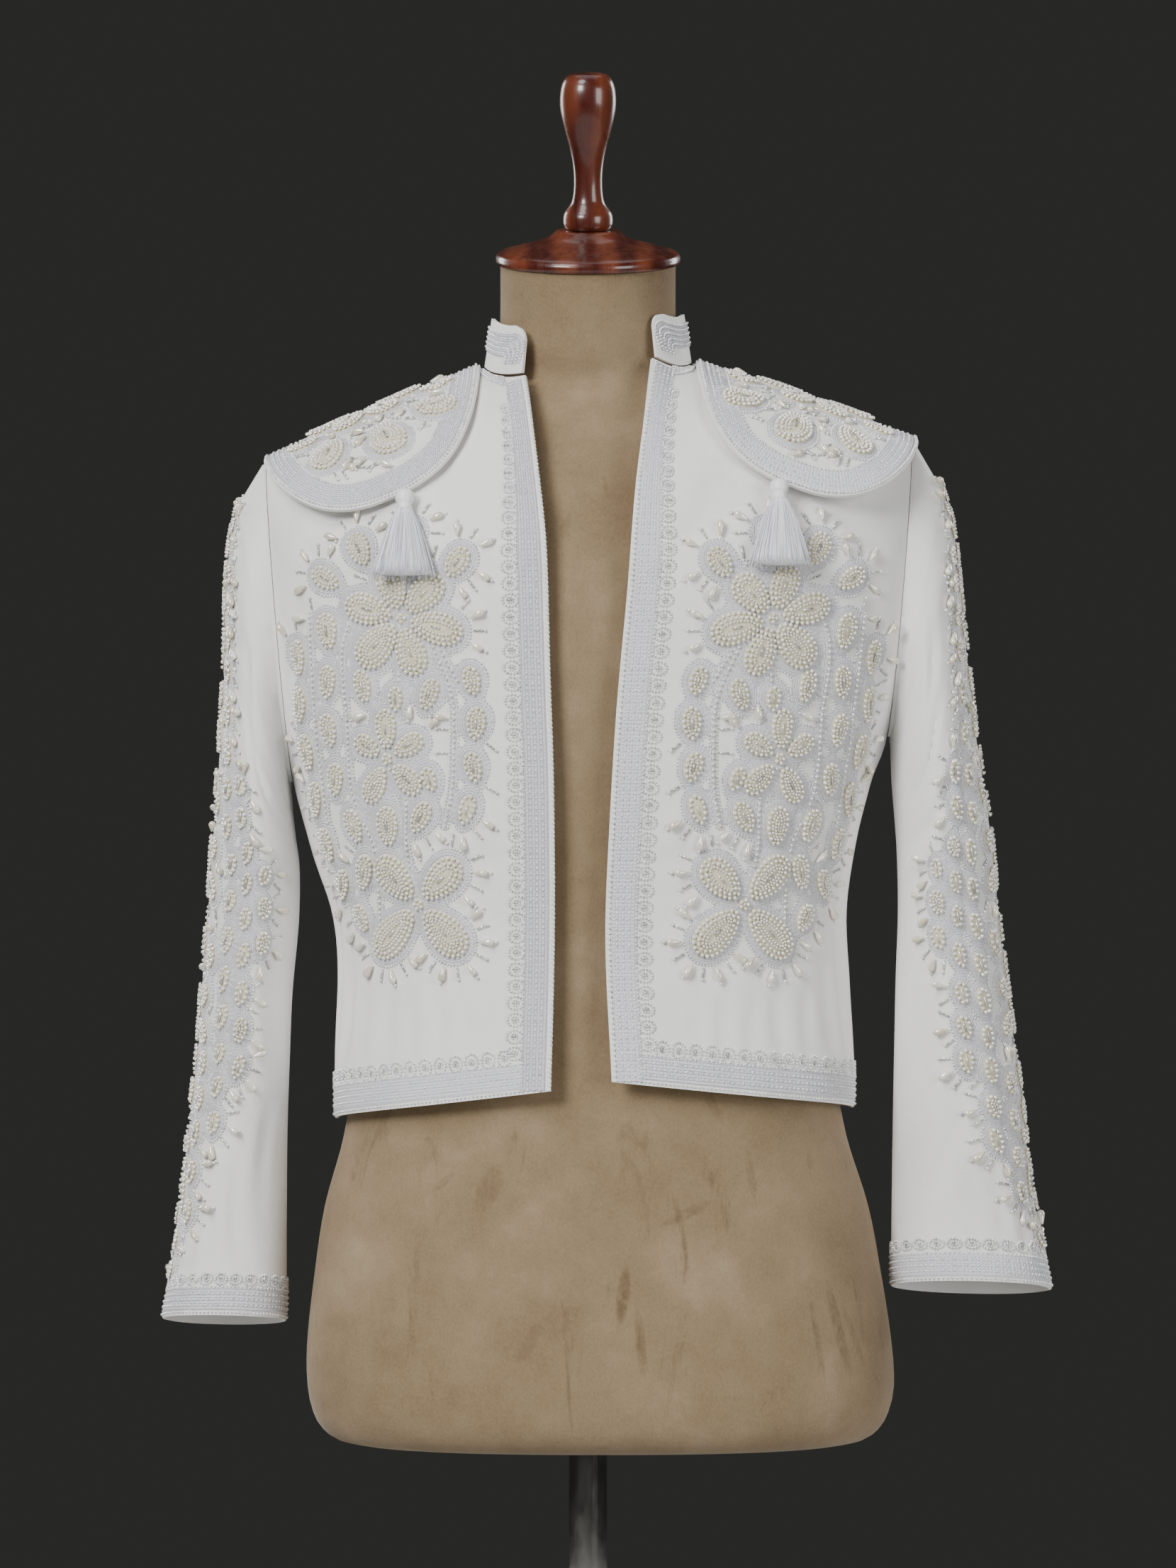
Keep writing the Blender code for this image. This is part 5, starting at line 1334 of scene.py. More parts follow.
class Ground:
    """The stitched ground round a motif, wherever a leaf or stem is near."""

    def __init__(self, leaves, stems):
        self.leaves, self.stems = leaves, stems
        reach = 14 * MM
        outlines = np.concatenate([leaf.outline(0.0, 12) for leaf in leaves] + [s.path for s in stems])
        self.low = outlines.min(0) - reach
        counts = np.ceil((outlines.max(0) + reach - self.low) / GROUND_GRID).astype(int)
        across = self.low[0] + GROUND_GRID * np.arange(counts[0])
        up = self.low[1] + GROUND_GRID * np.arange(counts[1])
        self.places = np.stack(np.meshgrid(across, up), axis=-1)
        self.distances = np.stack([shape.distance(self.places) for shape in leaves + stems])
        grows = np.array([shape.grow for shape in leaves + stems])
        self.field = -BLEND * np.log(np.exp(-(self.distances - grows[:, None, None]) / BLEND).sum(0))
        self.slope = np.stack(np.gradient(self.field, GROUND_GRID)[::-1], axis=-1)

    def value(self, field, places):
        """The field read between its grid points."""
        spot = (places - self.low) / GROUND_GRID
        rows, columns = field.shape[:2]
        c = np.clip(np.floor(spot[..., 0]).astype(int), 0, columns - 2)
        r = np.clip(np.floor(spot[..., 1]).astype(int), 0, rows - 2)
        fc, fr = np.clip(spot[..., 0] - c, 0, 1), np.clip(spot[..., 1] - r, 0, 1)
        if field.ndim == 3:
            fc, fr = fc[..., None], fr[..., None]
        return ((field[r, c] * (1 - fc) + field[r, c + 1] * fc) * (1 - fr)
                + (field[r + 1, c] * (1 - fc) + field[r + 1, c + 1] * fc) * fr)

    def loops(self):
        """Closed lines where the field is zero, with the ground on their left."""
        field = self.field
        links = {}
        inside = field < 0
        mixed = (inside[:-1, :-1].astype(int) + inside[:-1, 1:] + inside[1:, :-1] + inside[1:, 1:])
        for r, c in zip(*np.nonzero((mixed > 0) & (mixed < 4))):
            corners = ((r, c), (r, c + 1), (r + 1, c + 1), (r + 1, c))
            crossings = [(corners[i], corners[(i + 1) % 4]) for i in range(4)
                         if inside[corners[i]] != inside[corners[(i + 1) % 4]]]
            starts = [edge for edge in crossings if inside[edge[0]]]
            ends = [edge for edge in crossings if not inside[edge[0]]]
            for start in starts:
                index = crossings.index(start)
                end = next(crossings[(index - k) % len(crossings)] for k in range(1, len(crossings))
                           if crossings[(index - k) % len(crossings)] in ends)
                links[tuple(sorted(start))] = tuple(sorted(end))
        made = []
        while links:
            first = next(iter(links))
            edge, loop = first, []
            while edge in links:
                a, b = edge
                share = field[a] / (field[a] - field[b])
                loop.append(self.places[a] * (1 - share) + self.places[b] * share)
                edge = links.pop(edge)
            made.append(np.array(loop))
        return made

    def stitch(self, cloth, name):
        """The raised ground itself, with its stitches following the nearest shape."""
        field = self.field
        near = np.zeros_like(field, bool)
        inside = field < 0
        for dr in (-1, 0, 1):
            for dc in (-1, 0, 1):
                near |= np.roll(np.roll(inside, dr, 0), dc, 1)
        steep = (self.slope ** 2).sum(-1, keepdims=True)
        snapped = self.places - self.slope * (field / np.maximum(steep[..., 0], 0.25))[..., None]
        places = np.where(inside[..., None], self.places, snapped)
        under = self.distances[:len(self.leaves)].min(0) < -2.2 * MM
        used = near[:-1, :-1] & near[:-1, 1:] & near[1:, :-1] & near[1:, 1:]
        used &= inside[:-1, :-1] | inside[:-1, 1:] | inside[1:, :-1] | inside[1:, 1:]
        used &= ~(under[:-1, :-1] & under[:-1, 1:] & under[1:, :-1] & under[1:, 1:])
        rows, columns = np.nonzero(used)
        corner_rows = np.stack([rows, rows, rows + 1, rows + 1], axis=-1)
        corner_columns = np.stack([columns, columns + 1, columns + 1, columns], axis=-1)
        numbers = corner_rows * field.shape[1] + corner_columns
        kept, faces = np.unique(numbers, return_inverse=True)
        faces = faces.reshape(-1, 4)
        flat = places.reshape(-1, 2)[kept]
        depth = np.minimum(field.reshape(-1)[kept], 0)
        lift = -0.15 * MM + (GROUND_LIFT + 0.15 * MM) * (1 - np.exp(depth / (0.8 * MM)))
        verts = cloth.lay(flat, lift)
        middle = flat[faces].mean(1)
        shapes = self.leaves + self.stems
        nearest = self.distances[:, rows, columns].argmin(0)
        uvs = np.zeros((len(faces), 4, 2))
        for number, shape in enumerate(shapes):
            chosen = nearest == number
            if not chosen.any():
                continue
            corners = flat[faces[chosen]]
            if number < len(self.leaves):
                centre = shape.around(middle[chosen])[:, None]
                turn = shape.around(corners) - centre
                turn = centre + (turn + math.pi) % (2 * math.pi) - math.pi
                lanes = shape.distance(corners) / LANE
                uvs[chosen] = np.stack([lanes, turn * shape.girth() / STITCH], axis=-1)
            else:
                away, walked = shape.nearest(corners)
                uvs[chosen] = np.stack([away / LANE, walked / STITCH], axis=-1)
        add_piece(name, verts, faces, "braid", loop_uvs=uvs.reshape(-1, 2))


def free_of(places, taken, distance):
    """Which places lie clear of all taken ones, each of which is added in turn."""
    keep = []
    for place in places:
        near = any(abs(place[0] - x) < distance and abs(place[1] - y) < distance
                   and math.hypot(place[0] - x, place[1] - y) < distance for x, y in taken)
        keep.append(not near)
        if not near:
            taken.append((place[0], place[1]))
    return np.array(keep, bool)


def lay_rays(heap, cloth, places, outward, taken, allowed, kinds=None):
    """Drops and bugles in turn, pointing outwards, each with a bead at its tip."""
    if not len(places):
        return
    middles = places + outward * 0.5 * DROP_LENGTH
    fits = allowed(middles) & allowed(places + outward * 0.95 * DROP_LENGTH)
    keep = np.zeros(len(places), bool)
    keep[fits] = free_of(middles[fits], taken, 5.6 * MM)
    if kinds is None:
        kinds = np.arange(len(places)) % 2
    for kind, (name, length) in enumerate((("drop", DROP_LENGTH), ("bugle", BUGLE_LENGTH))):
        chosen = keep & (kinds == kind)
        if not chosen.any():
            continue
        start, out = places[chosen], outward[chosen]
        here, normal = cloth.frames(start)
        ahead, _ = cloth.frames(start + out * length)
        along = unit(ahead - here)
        heap.add(name, here + normal * 0.2 * MM, normal, along, length)
        tip_here, tip_normal = cloth.frames(start + out * (length + 1.3 * MM))
        heap.round("seed", tip_here + tip_normal * 0.5 * MM, tip_normal, TIP_BEAD)


def bead_leaf(leaf, cloth, heap, pads):
    """Padding with rings of pearls, small ones inside, and a bugle in the middle."""
    shares = (1.0, 0.84, 0.48, 0.02)
    outline = leaf.outline(0.0, 22)
    outline = np.concatenate([outline, outline[:1]])
    rings = [leaf.centre + (outline - leaf.centre) * share for share in shares]
    grid = np.stack([cloth.lay(rings[0], 0.1 * MM)]
                    + [cloth.lay(ring, leaf.pad_lift(share)) for ring, share in zip(rings, shares)])
    pads.add(grid, np.stack([rings[0]] + rings))

    def ring_of(inset, size, pitch):
        ring = even_path(leaf.outline(-inset), pitch, closed=True)
        here, normal = cloth.frames(ring)
        share = max(0.0, 1 - inset / leaf.half_width)
        heap.round("pearl", here + normal * leaf.pad_lift(share), normal, size)

    inset = PEARL / 2 + 0.1 * MM
    ring_of(inset, PEARL, PEARL_PITCH)
    filled = PEARL + 0.4 * MM
    if leaf.half_width - filled > 6.0 * MM:
        ring_of(filled + PEARL / 2, PEARL * 0.94, PEARL_PITCH * 0.95)
        filled += PEARL + 0.3 * MM
    while leaf.half_width - filled > SMALL_PEARL + 0.9 * MM:
        ring_of(filled + SMALL_PEARL / 2, SMALL_PEARL, SMALL_PITCH)
        filled += SMALL_PEARL + 0.25 * MM
    room = leaf.half_length - filled
    point = np.array((math.cos(leaf.turn), math.sin(leaf.turn)))
    size = min(2 * room, BUGLE_LENGTH)
    if size > 2.6 * MM:
        start = leaf.centre - point * size / 2
        here, normal = cloth.frames(np.array([start, start + point * size]))
        lift = leaf.pad_lift(0.0) - 0.2 * MM
        heap.add("bugle", here[:1] + normal[:1] * lift, normal[:1], here[1:] - here[:1], size)
    elif size > 0.2 * MM:
        here, normal = cloth.frames(leaf.centre[None])
        heap.round("pearl", here + normal * leaf.pad_lift(0.0), normal, SMALL_PEARL)


def bead_motif(name, leaves, stems, cloth, heap, allowed, replaced):
    """A whole motif: ground, leaves, stems, seed beads along its edges, and rays."""
    pads = Strips()
    ground = Ground(leaves, stems)
    ground.stitch(cloth, f"{name}_ground")
    for leaf in leaves:
        bead_leaf(leaf, cloth, heap, pads)
    for stem in stems:
        path = even_path(stem.path, 3.9 * MM)
        if leaves:
            path = path[np.min([leaf.distance(path) for leaf in leaves], axis=0) > 1.8 * MM]
        if len(path):
            here, normal = cloth.frames(path)
            heap.round("pearl", here + normal * GROUND_LIFT, normal, 2.5 * MM)
    pads.make(f"{name}_padding", "pad", replaced)
    taken = []

    def clear(places):
        return allowed(places) & (ground.value(ground.field, places) > 1.5 * MM)

    for loop in sorted(ground.loops(), key=len, reverse=True):
        if len(loop) < 12:
            continue
        loop = even_path(loop, SEED_PITCH, closed=True)
        outward = unit(ground.value(ground.slope, loop))
        here, normal = cloth.frames(loop - outward * 0.35 * MM)
        heap.round("seed", here + normal * 0.15 * MM, normal, SEED)
        loop = even_path(loop, RAY_PITCH, closed=True)
        outward = unit(ground.value(ground.slope, loop))
        lay_rays(heap, cloth, loop + outward * 1.6 * MM, outward, taken, clear)
    return ground


def petals_as_leaves(across, up, petals, flip=1):
    """The petals of one group, drawn in so that the stitched ground fits round them."""
    made = []
    for direction, length, width in petals:
        turn = math.radians(direction * flip)
        reach = length / 2 + 2.6 * MM
        made.append(Leaf(across + reach * math.cos(turn), up + reach * math.sin(turn),
                         direction * flip, length - 7.5 * MM, width - 5.0 * MM, 0.22))
    return made


# Layouts, in millimetres: across, up, direction, length, width

FRONT_LEAVES = (
    (102, 948, 0, 8, 8), (116, 852, 0, 9, 9), (96, 752, 0, 9, 9),
    (54, 905, 80, 21, 13), (52, 876, 98, 24, 14), (55, 846, 80, 22, 13), (60, 817, 108, 22, 12),
    (62, 986, 124, 24, 16), (96, 1004, 100, 24, 15), (132, 996, 62, 26, 17), (158, 976, 28, 24, 15),
    (158, 940, 84, 26, 16), (160, 905, 98, 24, 14), (186, 922, 84, 26, 16), (188, 890, 96, 26, 15),
    (187, 857, 84, 26, 16), (184, 824, 98, 26, 15), (176, 793, 70, 25, 15), (164, 765, 112, 24, 14),
    (162, 872, 82, 24, 14), (160, 838, 98, 24, 15), (146, 806, 70, 25, 15), (140, 774, 104, 26, 15),
    (146, 742, 60, 22, 14), (118, 806, 86, 28, 17), (93, 812, 118, 24, 14), (86, 838, 70, 18, 11),
    (84, 896, 112, 24, 13), (132, 902, 80, 24, 13), (108, 893, 92, 18, 11))
FRONT_STEMS = (
    ((96, 752), (104, 790), (104, 826), (116, 852), (106, 900), (102, 948)),
    ((128, 742), (130, 790), (146, 830), (146, 880), (146, 930), (128, 968)),
    ((76, 806), (70, 832), (68, 862), (68, 894), (80, 928)),
    ((64, 905), (76, 930), (78, 960), (80, 985)), ((172, 800), (174, 850), (173, 900), (172, 950)))
SLEEVE_BAND = Table(("ring", "forward"), (
    (0.9, 30), (2.0, 46), (4.0, 54), (5.5, 80), (7.0, 84), (8.5, 76), (9.6, 60), (10.6, 38), (12.0, 12)))
SLEEVE_COLUMN_ACROSS = (0.0, 0.021, -0.021, 0.041, -0.041, 0.060, -0.060, 0.078, -0.078)
SLEEVE_LEAF_STEP = 0.50
FLOWER_HEART = 8 * MM
FLAP_LEAVES = (
    (88, 0, 0, 10, 10), (40, 62, 140, 34, 22), (80, 76, 95, 38, 27), (122, 66, 55, 34, 23),
    (136, 30, 10, 24, 17), (34, 24, 165, 26, 17), (40, -62, -140, 34, 22), (80, -76, -95, 38, 27),
    (122, -66, -55, 34, 23), (136, -30, -10, 24, 17), (34, -24, -165, 26, 17))


def leaves_of(rows):
    return [Leaf(a * MM, b * MM, direction, length * MM, width * MM)
            for a, b, direction, length, width in rows]


def bead_front(side, cloth):
    heap = Heap(11 + SIDES[side])
    leaves = leaves_of(FRONT_LEAVES)
    for _, across, height, petals in CHEST_FLOWERS:
        leaves += petals_as_leaves(across, height, petals)

    def allowed(places):
        edge = np.interp(places[..., 1], cloth.up[:, -1], cloth.across[:, -1])
        return (places[..., 0] > 37 * MM) & (places[..., 0] < edge - 4 * MM)

    bead_motif(f"front_{side}", leaves, [Stem(stem) for stem in FRONT_STEMS], cloth, heap, allowed,
               [f"chest_flower_{label}_{side}" for label, *_ in CHEST_FLOWERS])
    return heap


def sleeve_leaves(side):
    """Columns of small leaves on both sides of the outer line, and the petal groups."""
    groups = [leaf for _, around, ring, petals in SLEEVE_FLOWERS
              for leaf in petals_as_leaves(around, ring * RING_PITCH, petals, -1)]
    made = list(groups)
    made += [Leaf(around, ring * RING_PITCH, 0, FLOWER_HEART, FLOWER_HEART, 0)
             for _, around, ring, _ in SLEEVE_FLOWERS]
    chance = np.random.default_rng(23 + SIDES[side])
    for number, across in enumerate(SLEEVE_COLUMN_ACROSS):
        ring = 1.3 + (0.25 if number in (1, 2, 5, 6) else 0.0)
        while ring < 12.0:
            lean = chance.uniform(-12, 12) + (16 if across > 0 else -16 if across < 0 else 0)
            length, width = chance.uniform(16.5, 20.0) * MM, chance.uniform(10.5, 13.0) * MM
            place = across + (0.010 if ring > 6 else 0.004)
            leaf = Leaf(place, ring * RING_PITCH, -90 + lean, length, width, 0.18)
            fits = abs(across) + 5 * MM < SLEEVE_BAND.at(ring, "forward") * MM
            if fits and not any(group.covers(leaf.outline(0.0, 16), 2.2 * MM).any() for group in groups):
                made.append(leaf)
            ring += SLEEVE_LEAF_STEP + chance.uniform(-0.03, 0.03)
    return made


def bead_sleeve(side, cloth):
    heap = Heap(31 + SIDES[side])

    def allowed(places):
        return (places[..., 1] < 12.0 * RING_PITCH) & (places[..., 1] > 0.9 * RING_PITCH)

    bead_motif(f"sleeve_{side}", sleeve_leaves(side), [], cloth, heap, allowed,
               [f"sleeve_flower_{label}_{side}" for label, *_ in SLEEVE_FLOWERS])
    return heap


def bead_flap(side, cloth):
    heap = Heap(51 + SIDES[side])
    leaves = leaves_of(FLAP_LEAVES) + petals_as_leaves(FLAP_FLOWER_ALONG, 0.0, CAPE)
    inner = flap_outline(1.0, np.linspace(0, 2 * math.pi, 300))

    def allowed(places):
        distance = np.linalg.norm(places[..., None, :] - inner, axis=-1).min(-1)
        inside = ((np.abs(places[..., 0] - FLAP_LENGTH / 2) < FLAP_LENGTH / 2)
                  & (np.abs(places[..., 1]) < FLAP_HALF_DROP))
        return inside & (distance > 24 * MM)

    ground = bead_motif(f"flap_{side}", leaves, [], cloth, heap, allowed, [f"flap_flower_{side}"])
    chance = np.random.default_rng(5)
    spots = np.array([(x, y) for x in np.arange(24, 146, 8.5) for y in np.arange(-106, 108, 8.5)]) * MM
    spots += chance.uniform(-1.6, 1.6, spots.shape) * MM
    turn = chance.uniform(0, 2 * math.pi, len(spots))

    def clear(places):
        return allowed(places) & (ground.value(ground.field, places) > 1.5 * MM)

    lay_rays(heap, cloth, spots, np.stack([np.cos(turn), np.sin(turn)], axis=-1), [], clear,
             (chance.random(len(spots)) > 0.45).astype(int))
    return heap


# Braid: ridges of chain stitch with seed beads in their grooves, and rosettes beside them

BRAID_RIDGES = (3.6, 20.6, 8)
BRAID_ROWS = ((7.85, 1.9, 3.7), (12.1, 1.9, 3.7), (16.35, 1.9, 3.7), (20.9, 1.9, 3.0))
EDGE_ROW = {"right": (0.4, 2.2, 3.1), "left": (2.7, 2.1, 3.6)}
HEM_EDGE_ROW = (2.2, 1.8, 2.9)
FLAP_RIDGES = (3.4, 20.5, 9)
FLAP_ROWS = ((2.0, 2.2, 2.7), (7.2, 1.9, 3.2), (11.0, 1.7, 3.6), (14.8, 1.7, 3.6), (20.9, 2.1, 2.8))
NECK_RIDGES = (3.4, 14.6, 5)
NECK_ROWS = ((2.4, 1.9, 2.9), (7.9, 1.8, 3.8), (12.4, 1.8, 3.8), (15.4, 1.8, 2.9))
RIDGE_HEIGHT = 1.0 * MM
BRAID_STATION = 3.0 * MM
BEAD_LIFT = 0.35 * MM
ROSETTE_INSET = 26.2
ROSETTE_RADIUS = 4.5
ROSETTE_PITCH = 11.6
ROSETTE_BUGLE = 4.4 * MM
# Each ring of a rosette: stretch, share of the radius, number of beads, bead size
ROSETTE_RINGS = ((0.9, 1.0, 14, 2.1), (0.1, 0.45, 7, 1.75))


def lay_braid(strips, cloth, track, ridges):
    """Rounded ridges side by side. track(inset) is a path of places at that inset."""
    first, last, count = ridges
    steps = 3 * count
    length = np.linalg.norm(np.diff(track((first + last) / 2 * MM), axis=0), axis=-1).sum()
    pitch = length / max(8, round(length / BRAID_STATION))
    stations = int(round(length / pitch)) + 1
    columns = []
    for k in range(steps + 1):
        path = track(mix(first, last, k / steps) * MM)
        walked = np.concatenate([[0.0], np.cumsum(np.linalg.norm(np.diff(path, axis=0), axis=-1))])
        spots = np.linspace(0, walked[-1], stations)
        columns.append(np.stack([np.interp(spots, walked, path[:, i]) for i in (0, 1)], axis=-1))
    places = np.stack(columns, axis=1)
    number = np.arange(steps + 1)
    lift = 0.25 * MM + RIDGE_HEIGHT * np.abs(np.sin(math.pi * number / 3)) ** 0.8
    lift[[0, -1]] = -0.1 * MM
    grid = cloth.lay(places, np.broadcast_to(lift, places.shape[:2]))
    stitches = np.arange(stations)[:, None] * pitch / STITCH
    uvs = np.stack(np.broadcast_arrays(number[None, :] / 3.0, stitches), axis=-1)
    strips.add(grid, uvs)


def lay_rows(rows, track, cloth, heap):
    """Rows of seed beads: inset, bead size and pitch of each, in millimetres."""
    for inset, size, pitch in rows:
        beads = even_path(track(inset * MM), pitch * MM)
        here, normal = cloth.frames(beads)
        heap.round("seed", here + normal * BEAD_LIFT, normal, size * MM)


def lay_rosettes(track, cloth, heap, pitch=ROSETTE_PITCH):
    """Small rings of seed beads round a bugle."""
    centres = even_path(track(ROSETTE_INSET * MM), pitch * MM)
    centres = (centres[:-1] + centres[1:]) / 2
    for centre, aside in zip(centres, sides_of(centres)):
        along = np.array((-aside[1], aside[0]))
        for extra, share, count, bead in ROSETTE_RINGS:
            turns = 2 * math.pi * np.arange(count) / count
            ring = centre + (np.outer(np.cos(turns), aside) * (ROSETTE_RADIUS * share + extra)
                             + np.outer(np.sin(turns), along) * ROSETTE_RADIUS * share) * MM
            here, normal = cloth.frames(ring)
            heap.round("seed", here, normal, bead * MM)
        size = ROSETTE_BUGLE
        ends = np.array([centre - aside * size / 2, centre + aside * size / 2])
        here, normal = cloth.frames(ends)
        heap.add("bugle", here[:1] + normal[:1] * 0.5 * MM, normal[:1], here[1:] - here[:1], size)


def front_bands(side, cloth, heap):
    cords, hem_cords, neck_cords = Strips(), Strips(), Strips()
    neck_column = int(np.argmax(np.abs(cloth.points[-1, :, 0]) > NECK_HALF_WIDTH - 2 * MM))

    def front_track(inset):
        heights = np.linspace(cloth.up[0, 0] + 0.5 * MM, cloth.up[-1, 0] - 3 * MM, 240)
        return np.stack([np.full_like(heights, inset), heights], axis=-1)

    def hem_track(inset):
        start = np.searchsorted(cloth.across[0], 19.6 * MM)
        across = cloth.across[0, start:]
        across = np.concatenate([[19.6 * MM], across])
        heights = np.interp(across, cloth.across[0], cloth.up[0]) + inset
        return np.stack([across, heights], axis=-1)

    def neck_track(inset):
        across = cloth.across[-1, :neck_column + 6]
        heights = cloth.up[-1, :neck_column + 6] - inset
        keep = across > 19.5 * MM
        return np.stack([across[keep], heights[keep]], axis=-1)

    lay_braid(cords, cloth, front_track, BRAID_RIDGES)
    lay_rows(BRAID_ROWS + (EDGE_ROW[side],), front_track, cloth, heap)
    lay_braid(hem_cords, cloth, hem_track, BRAID_RIDGES)
    lay_rows(BRAID_ROWS + (HEM_EDGE_ROW,), hem_track, cloth, heap)
    lay_braid(neck_cords, cloth, neck_track, NECK_RIDGES)
    lay_rows(NECK_ROWS, neck_track, cloth, heap)

    def rosette_track(inset):
        heights = np.linspace(cloth.up[0, 0] + 20 * MM, cloth.up[-1, 0] - 24 * MM, 200)
        return np.stack([np.full_like(heights, inset), heights], axis=-1)

    def hem_rosettes(inset):
        path = hem_track(inset)
        return path[path[:, 0] > 26 * MM]

    lay_rosettes(rosette_track, cloth, heap)
    lay_rosettes(hem_rosettes, cloth, heap)
    cords.make(f"front_braid_{side}_cords", "braid", [f"front_braid_{side}"])
    neck_cords.make(f"neck_braid_{side}_cords", "braid")
    return hem_cords


def back_bands(cloth, heap, hem_cords):
    def hem_track(inset):
        return np.stack([cloth.across[0], cloth.up[0] + inset], axis=-1)

    def neck_track(inset):
        inside = np.abs(cloth.points[-1, :, 0]) < NECK_HALF_WIDTH + 4 * MM
        return np.stack([cloth.across[-1, inside], cloth.up[-1, inside] - inset], axis=-1)

    lay_braid(hem_cords, cloth, hem_track, BRAID_RIDGES)
    lay_rows(BRAID_ROWS + (HEM_EDGE_ROW,), hem_track, cloth, heap)
    lay_rosettes(hem_track, cloth, heap)
    neck_cords = Strips()
    lay_braid(neck_cords, cloth, neck_track, NECK_RIDGES)
    lay_rows(NECK_ROWS, neck_track, cloth, heap)
    neck_cords.make("neck_braid_back_cords", "braid")


def cuff_bands(side, cloth, heap):
    cords = Strips()

    def track(inset):
        end = cloth.points[-1]
        above = cloth.points[-8]
        step = np.linalg.norm(end - above, axis=-1)
        down = (cloth.up[-1] - cloth.up[-8]) * inset / step
        return np.stack([cloth.across[-1], cloth.up[-1] - down], axis=-1)

    lay_braid(cords, cloth, track, BRAID_RIDGES)
    lay_rows(BRAID_ROWS + (HEM_EDGE_ROW,), track, cloth, heap)
    lay_rosettes(track, cloth, heap)
    cords.make(f"cuff_braid_{side}_cords", "braid", [f"cuff_braid_{side}"])


def flap_bands(side, cloth, heap):
    cords = Strips()
    turns = np.linspace(0, 2 * math.pi, 240)
    centre = np.array((FLAP_LENGTH / 2, 0.0))

    def track(inset):
        outline = flap_outline(1.0, turns)
        aside = sides_of(outline[:-1], closed=True)
        aside = np.concatenate([aside, aside[:1]])
        inward = np.where(((centre - outline) * aside).sum(-1, keepdims=True) > 0, aside, -aside)
        return outline + inward * inset

    lay_braid(cords, cloth, track, FLAP_RIDGES)
    lay_rows(FLAP_ROWS, track, cloth, heap)
    cords.make(f"flap_braid_{side}_cords", "braid", [f"flap_braid_{side}"])


# Collar rows, in millimetres in from the edge, and how high their ends stand
COLLAR_ROWS = (6.0, 9.4, 12.8, 16.2, 19.6)
COLLAR_FOOT = 7.5 * MM
COLLAR_ARC = 14.0 * MM
COLLAR_ARC_LOSS = 0.6
COLLAR_LEAST_ARC = 4 * MM
COLLAR_BEAD, COLLAR_BEAD_PITCH = 2.0 * MM, 2.1 * MM
COLLAR_CORD_WIDTH, COLLAR_CORD_HEIGHT, COLLAR_CORD_PITCH = 2.0 * MM, 0.9 * MM, 2.6 * MM
COLLAR_CORD_ASIDE = 1.7


def collar_row(cloth, inset):
    """From the foot of one end up, over the rounded corner and round the back to the other."""
    first, last = cloth.across[0, 0], cloth.across[0, -1]
    top = COLLAR_HEIGHT - inset
    radius = max(COLLAR_ARC - (inset - COLLAR_ROWS[0] * MM) * COLLAR_ARC_LOSS, COLLAR_LEAST_ARC)
    radius = min(radius, max(top - COLLAR_FOOT, 1 * MM))
    turns = np.linspace(0, math.pi / 2, 12)
    inward, heights = inset + radius * (1 - np.cos(turns)), top - radius * (1 - np.sin(turns))
    right = np.stack([first + inward, heights], axis=-1)
    left = np.stack([last - inward, heights], axis=-1)
    feet = [(first + inset, COLLAR_FOOT)], [(last - inset, COLLAR_FOOT)]
    return np.concatenate([feet[0], right, left[::-1], feet[1]])


def bead_collar(cloth):
    heap, cords = Heap(71), Strips()
    for number, inset in enumerate(COLLAR_ROWS):
        path = even_path(collar_row(cloth, inset * MM), COLLAR_BEAD_PITCH)
        here, normal = cloth.frames(path)
        heap.round("seed", here + normal * BEAD_LIFT, normal, COLLAR_BEAD)
        path = even_path(collar_row(cloth, (inset + COLLAR_CORD_ASIDE) * MM), COLLAR_CORD_PITCH)
        lay_cord(cords, cloth, path, sides_of(path), COLLAR_CORD_WIDTH, COLLAR_CORD_HEIGHT, lane=number)
    cords.make("collar_cords", "braid")
    heap.make("collar")


# Tassels: the head's outline as shares of its radius and millimetres down

TASSEL_HEAD = (
    (0.30, 0.0), (0.72, 0.5), (0.95, 2.0), (1.04, 4.5), (1.0, 7.5), (0.86, 9.6), (0.74, 10.6),
    (0.80, 11.4), (0.86, 12.6), (0.84, 13.8), (0.78, 14.8), (0.90, 16.6), (1.02, 18.5))
HEAD_RADIUS = 6.2 * MM
HEAD_SPOKES = 30
HEAD_RIB = 0.035
SKIRT_TOP = 14.5 * MM
SKIRT_LENGTH = 48.5 * MM
SKIRT_SPOKES, SKIRT_RINGS = 110, 10
SKIRT_FLARE = 0.82
SKIRT_ROOT = 5.6 * MM
SKIRT_WIDTH, SKIRT_DEPTH = 20.2 * MM, 6.6 * MM
SKIRT_BELLY = 63.0 * MM
STRAND_ROOT = 5.7 * MM
STRAND_WIDTH, STRAND_DEPTH = 21.2 * MM, 7.1 * MM
STRAND_LENGTH = 50.0 * MM
STRAND_RADIUS = 0.26 * MM
STRAND_STEPS, STRAND_CORNERS = 6, 3


def ring_faces(base, rings, spokes):
    """Triangles between closed rings of points that follow one another."""
    faces = []
    for ring in range(rings):
        for i in range(spokes):
            a = base + ring * spokes + i
            b = base + ring * spokes + (i + 1) % spokes
            faces += [(a, a + spokes, b + spokes), (a, b + spokes, b)]
    return faces


def tassel_head(verts, faces, tones):
    for size, down in TASSEL_HEAD:
        for i in range(HEAD_SPOKES):
            turn = 2 * math.pi * i / HEAD_SPOKES
            radius = HEAD_RADIUS * size * (1 + (HEAD_RIB if i % 2 else -HEAD_RIB))
            verts.append((radius * math.cos(turn), radius * math.sin(turn), -down * MM))
            tones.append(0.25 if i % 2 else 0.0)
    faces += ring_faces(0, len(TASSEL_HEAD) - 1, HEAD_SPOKES)


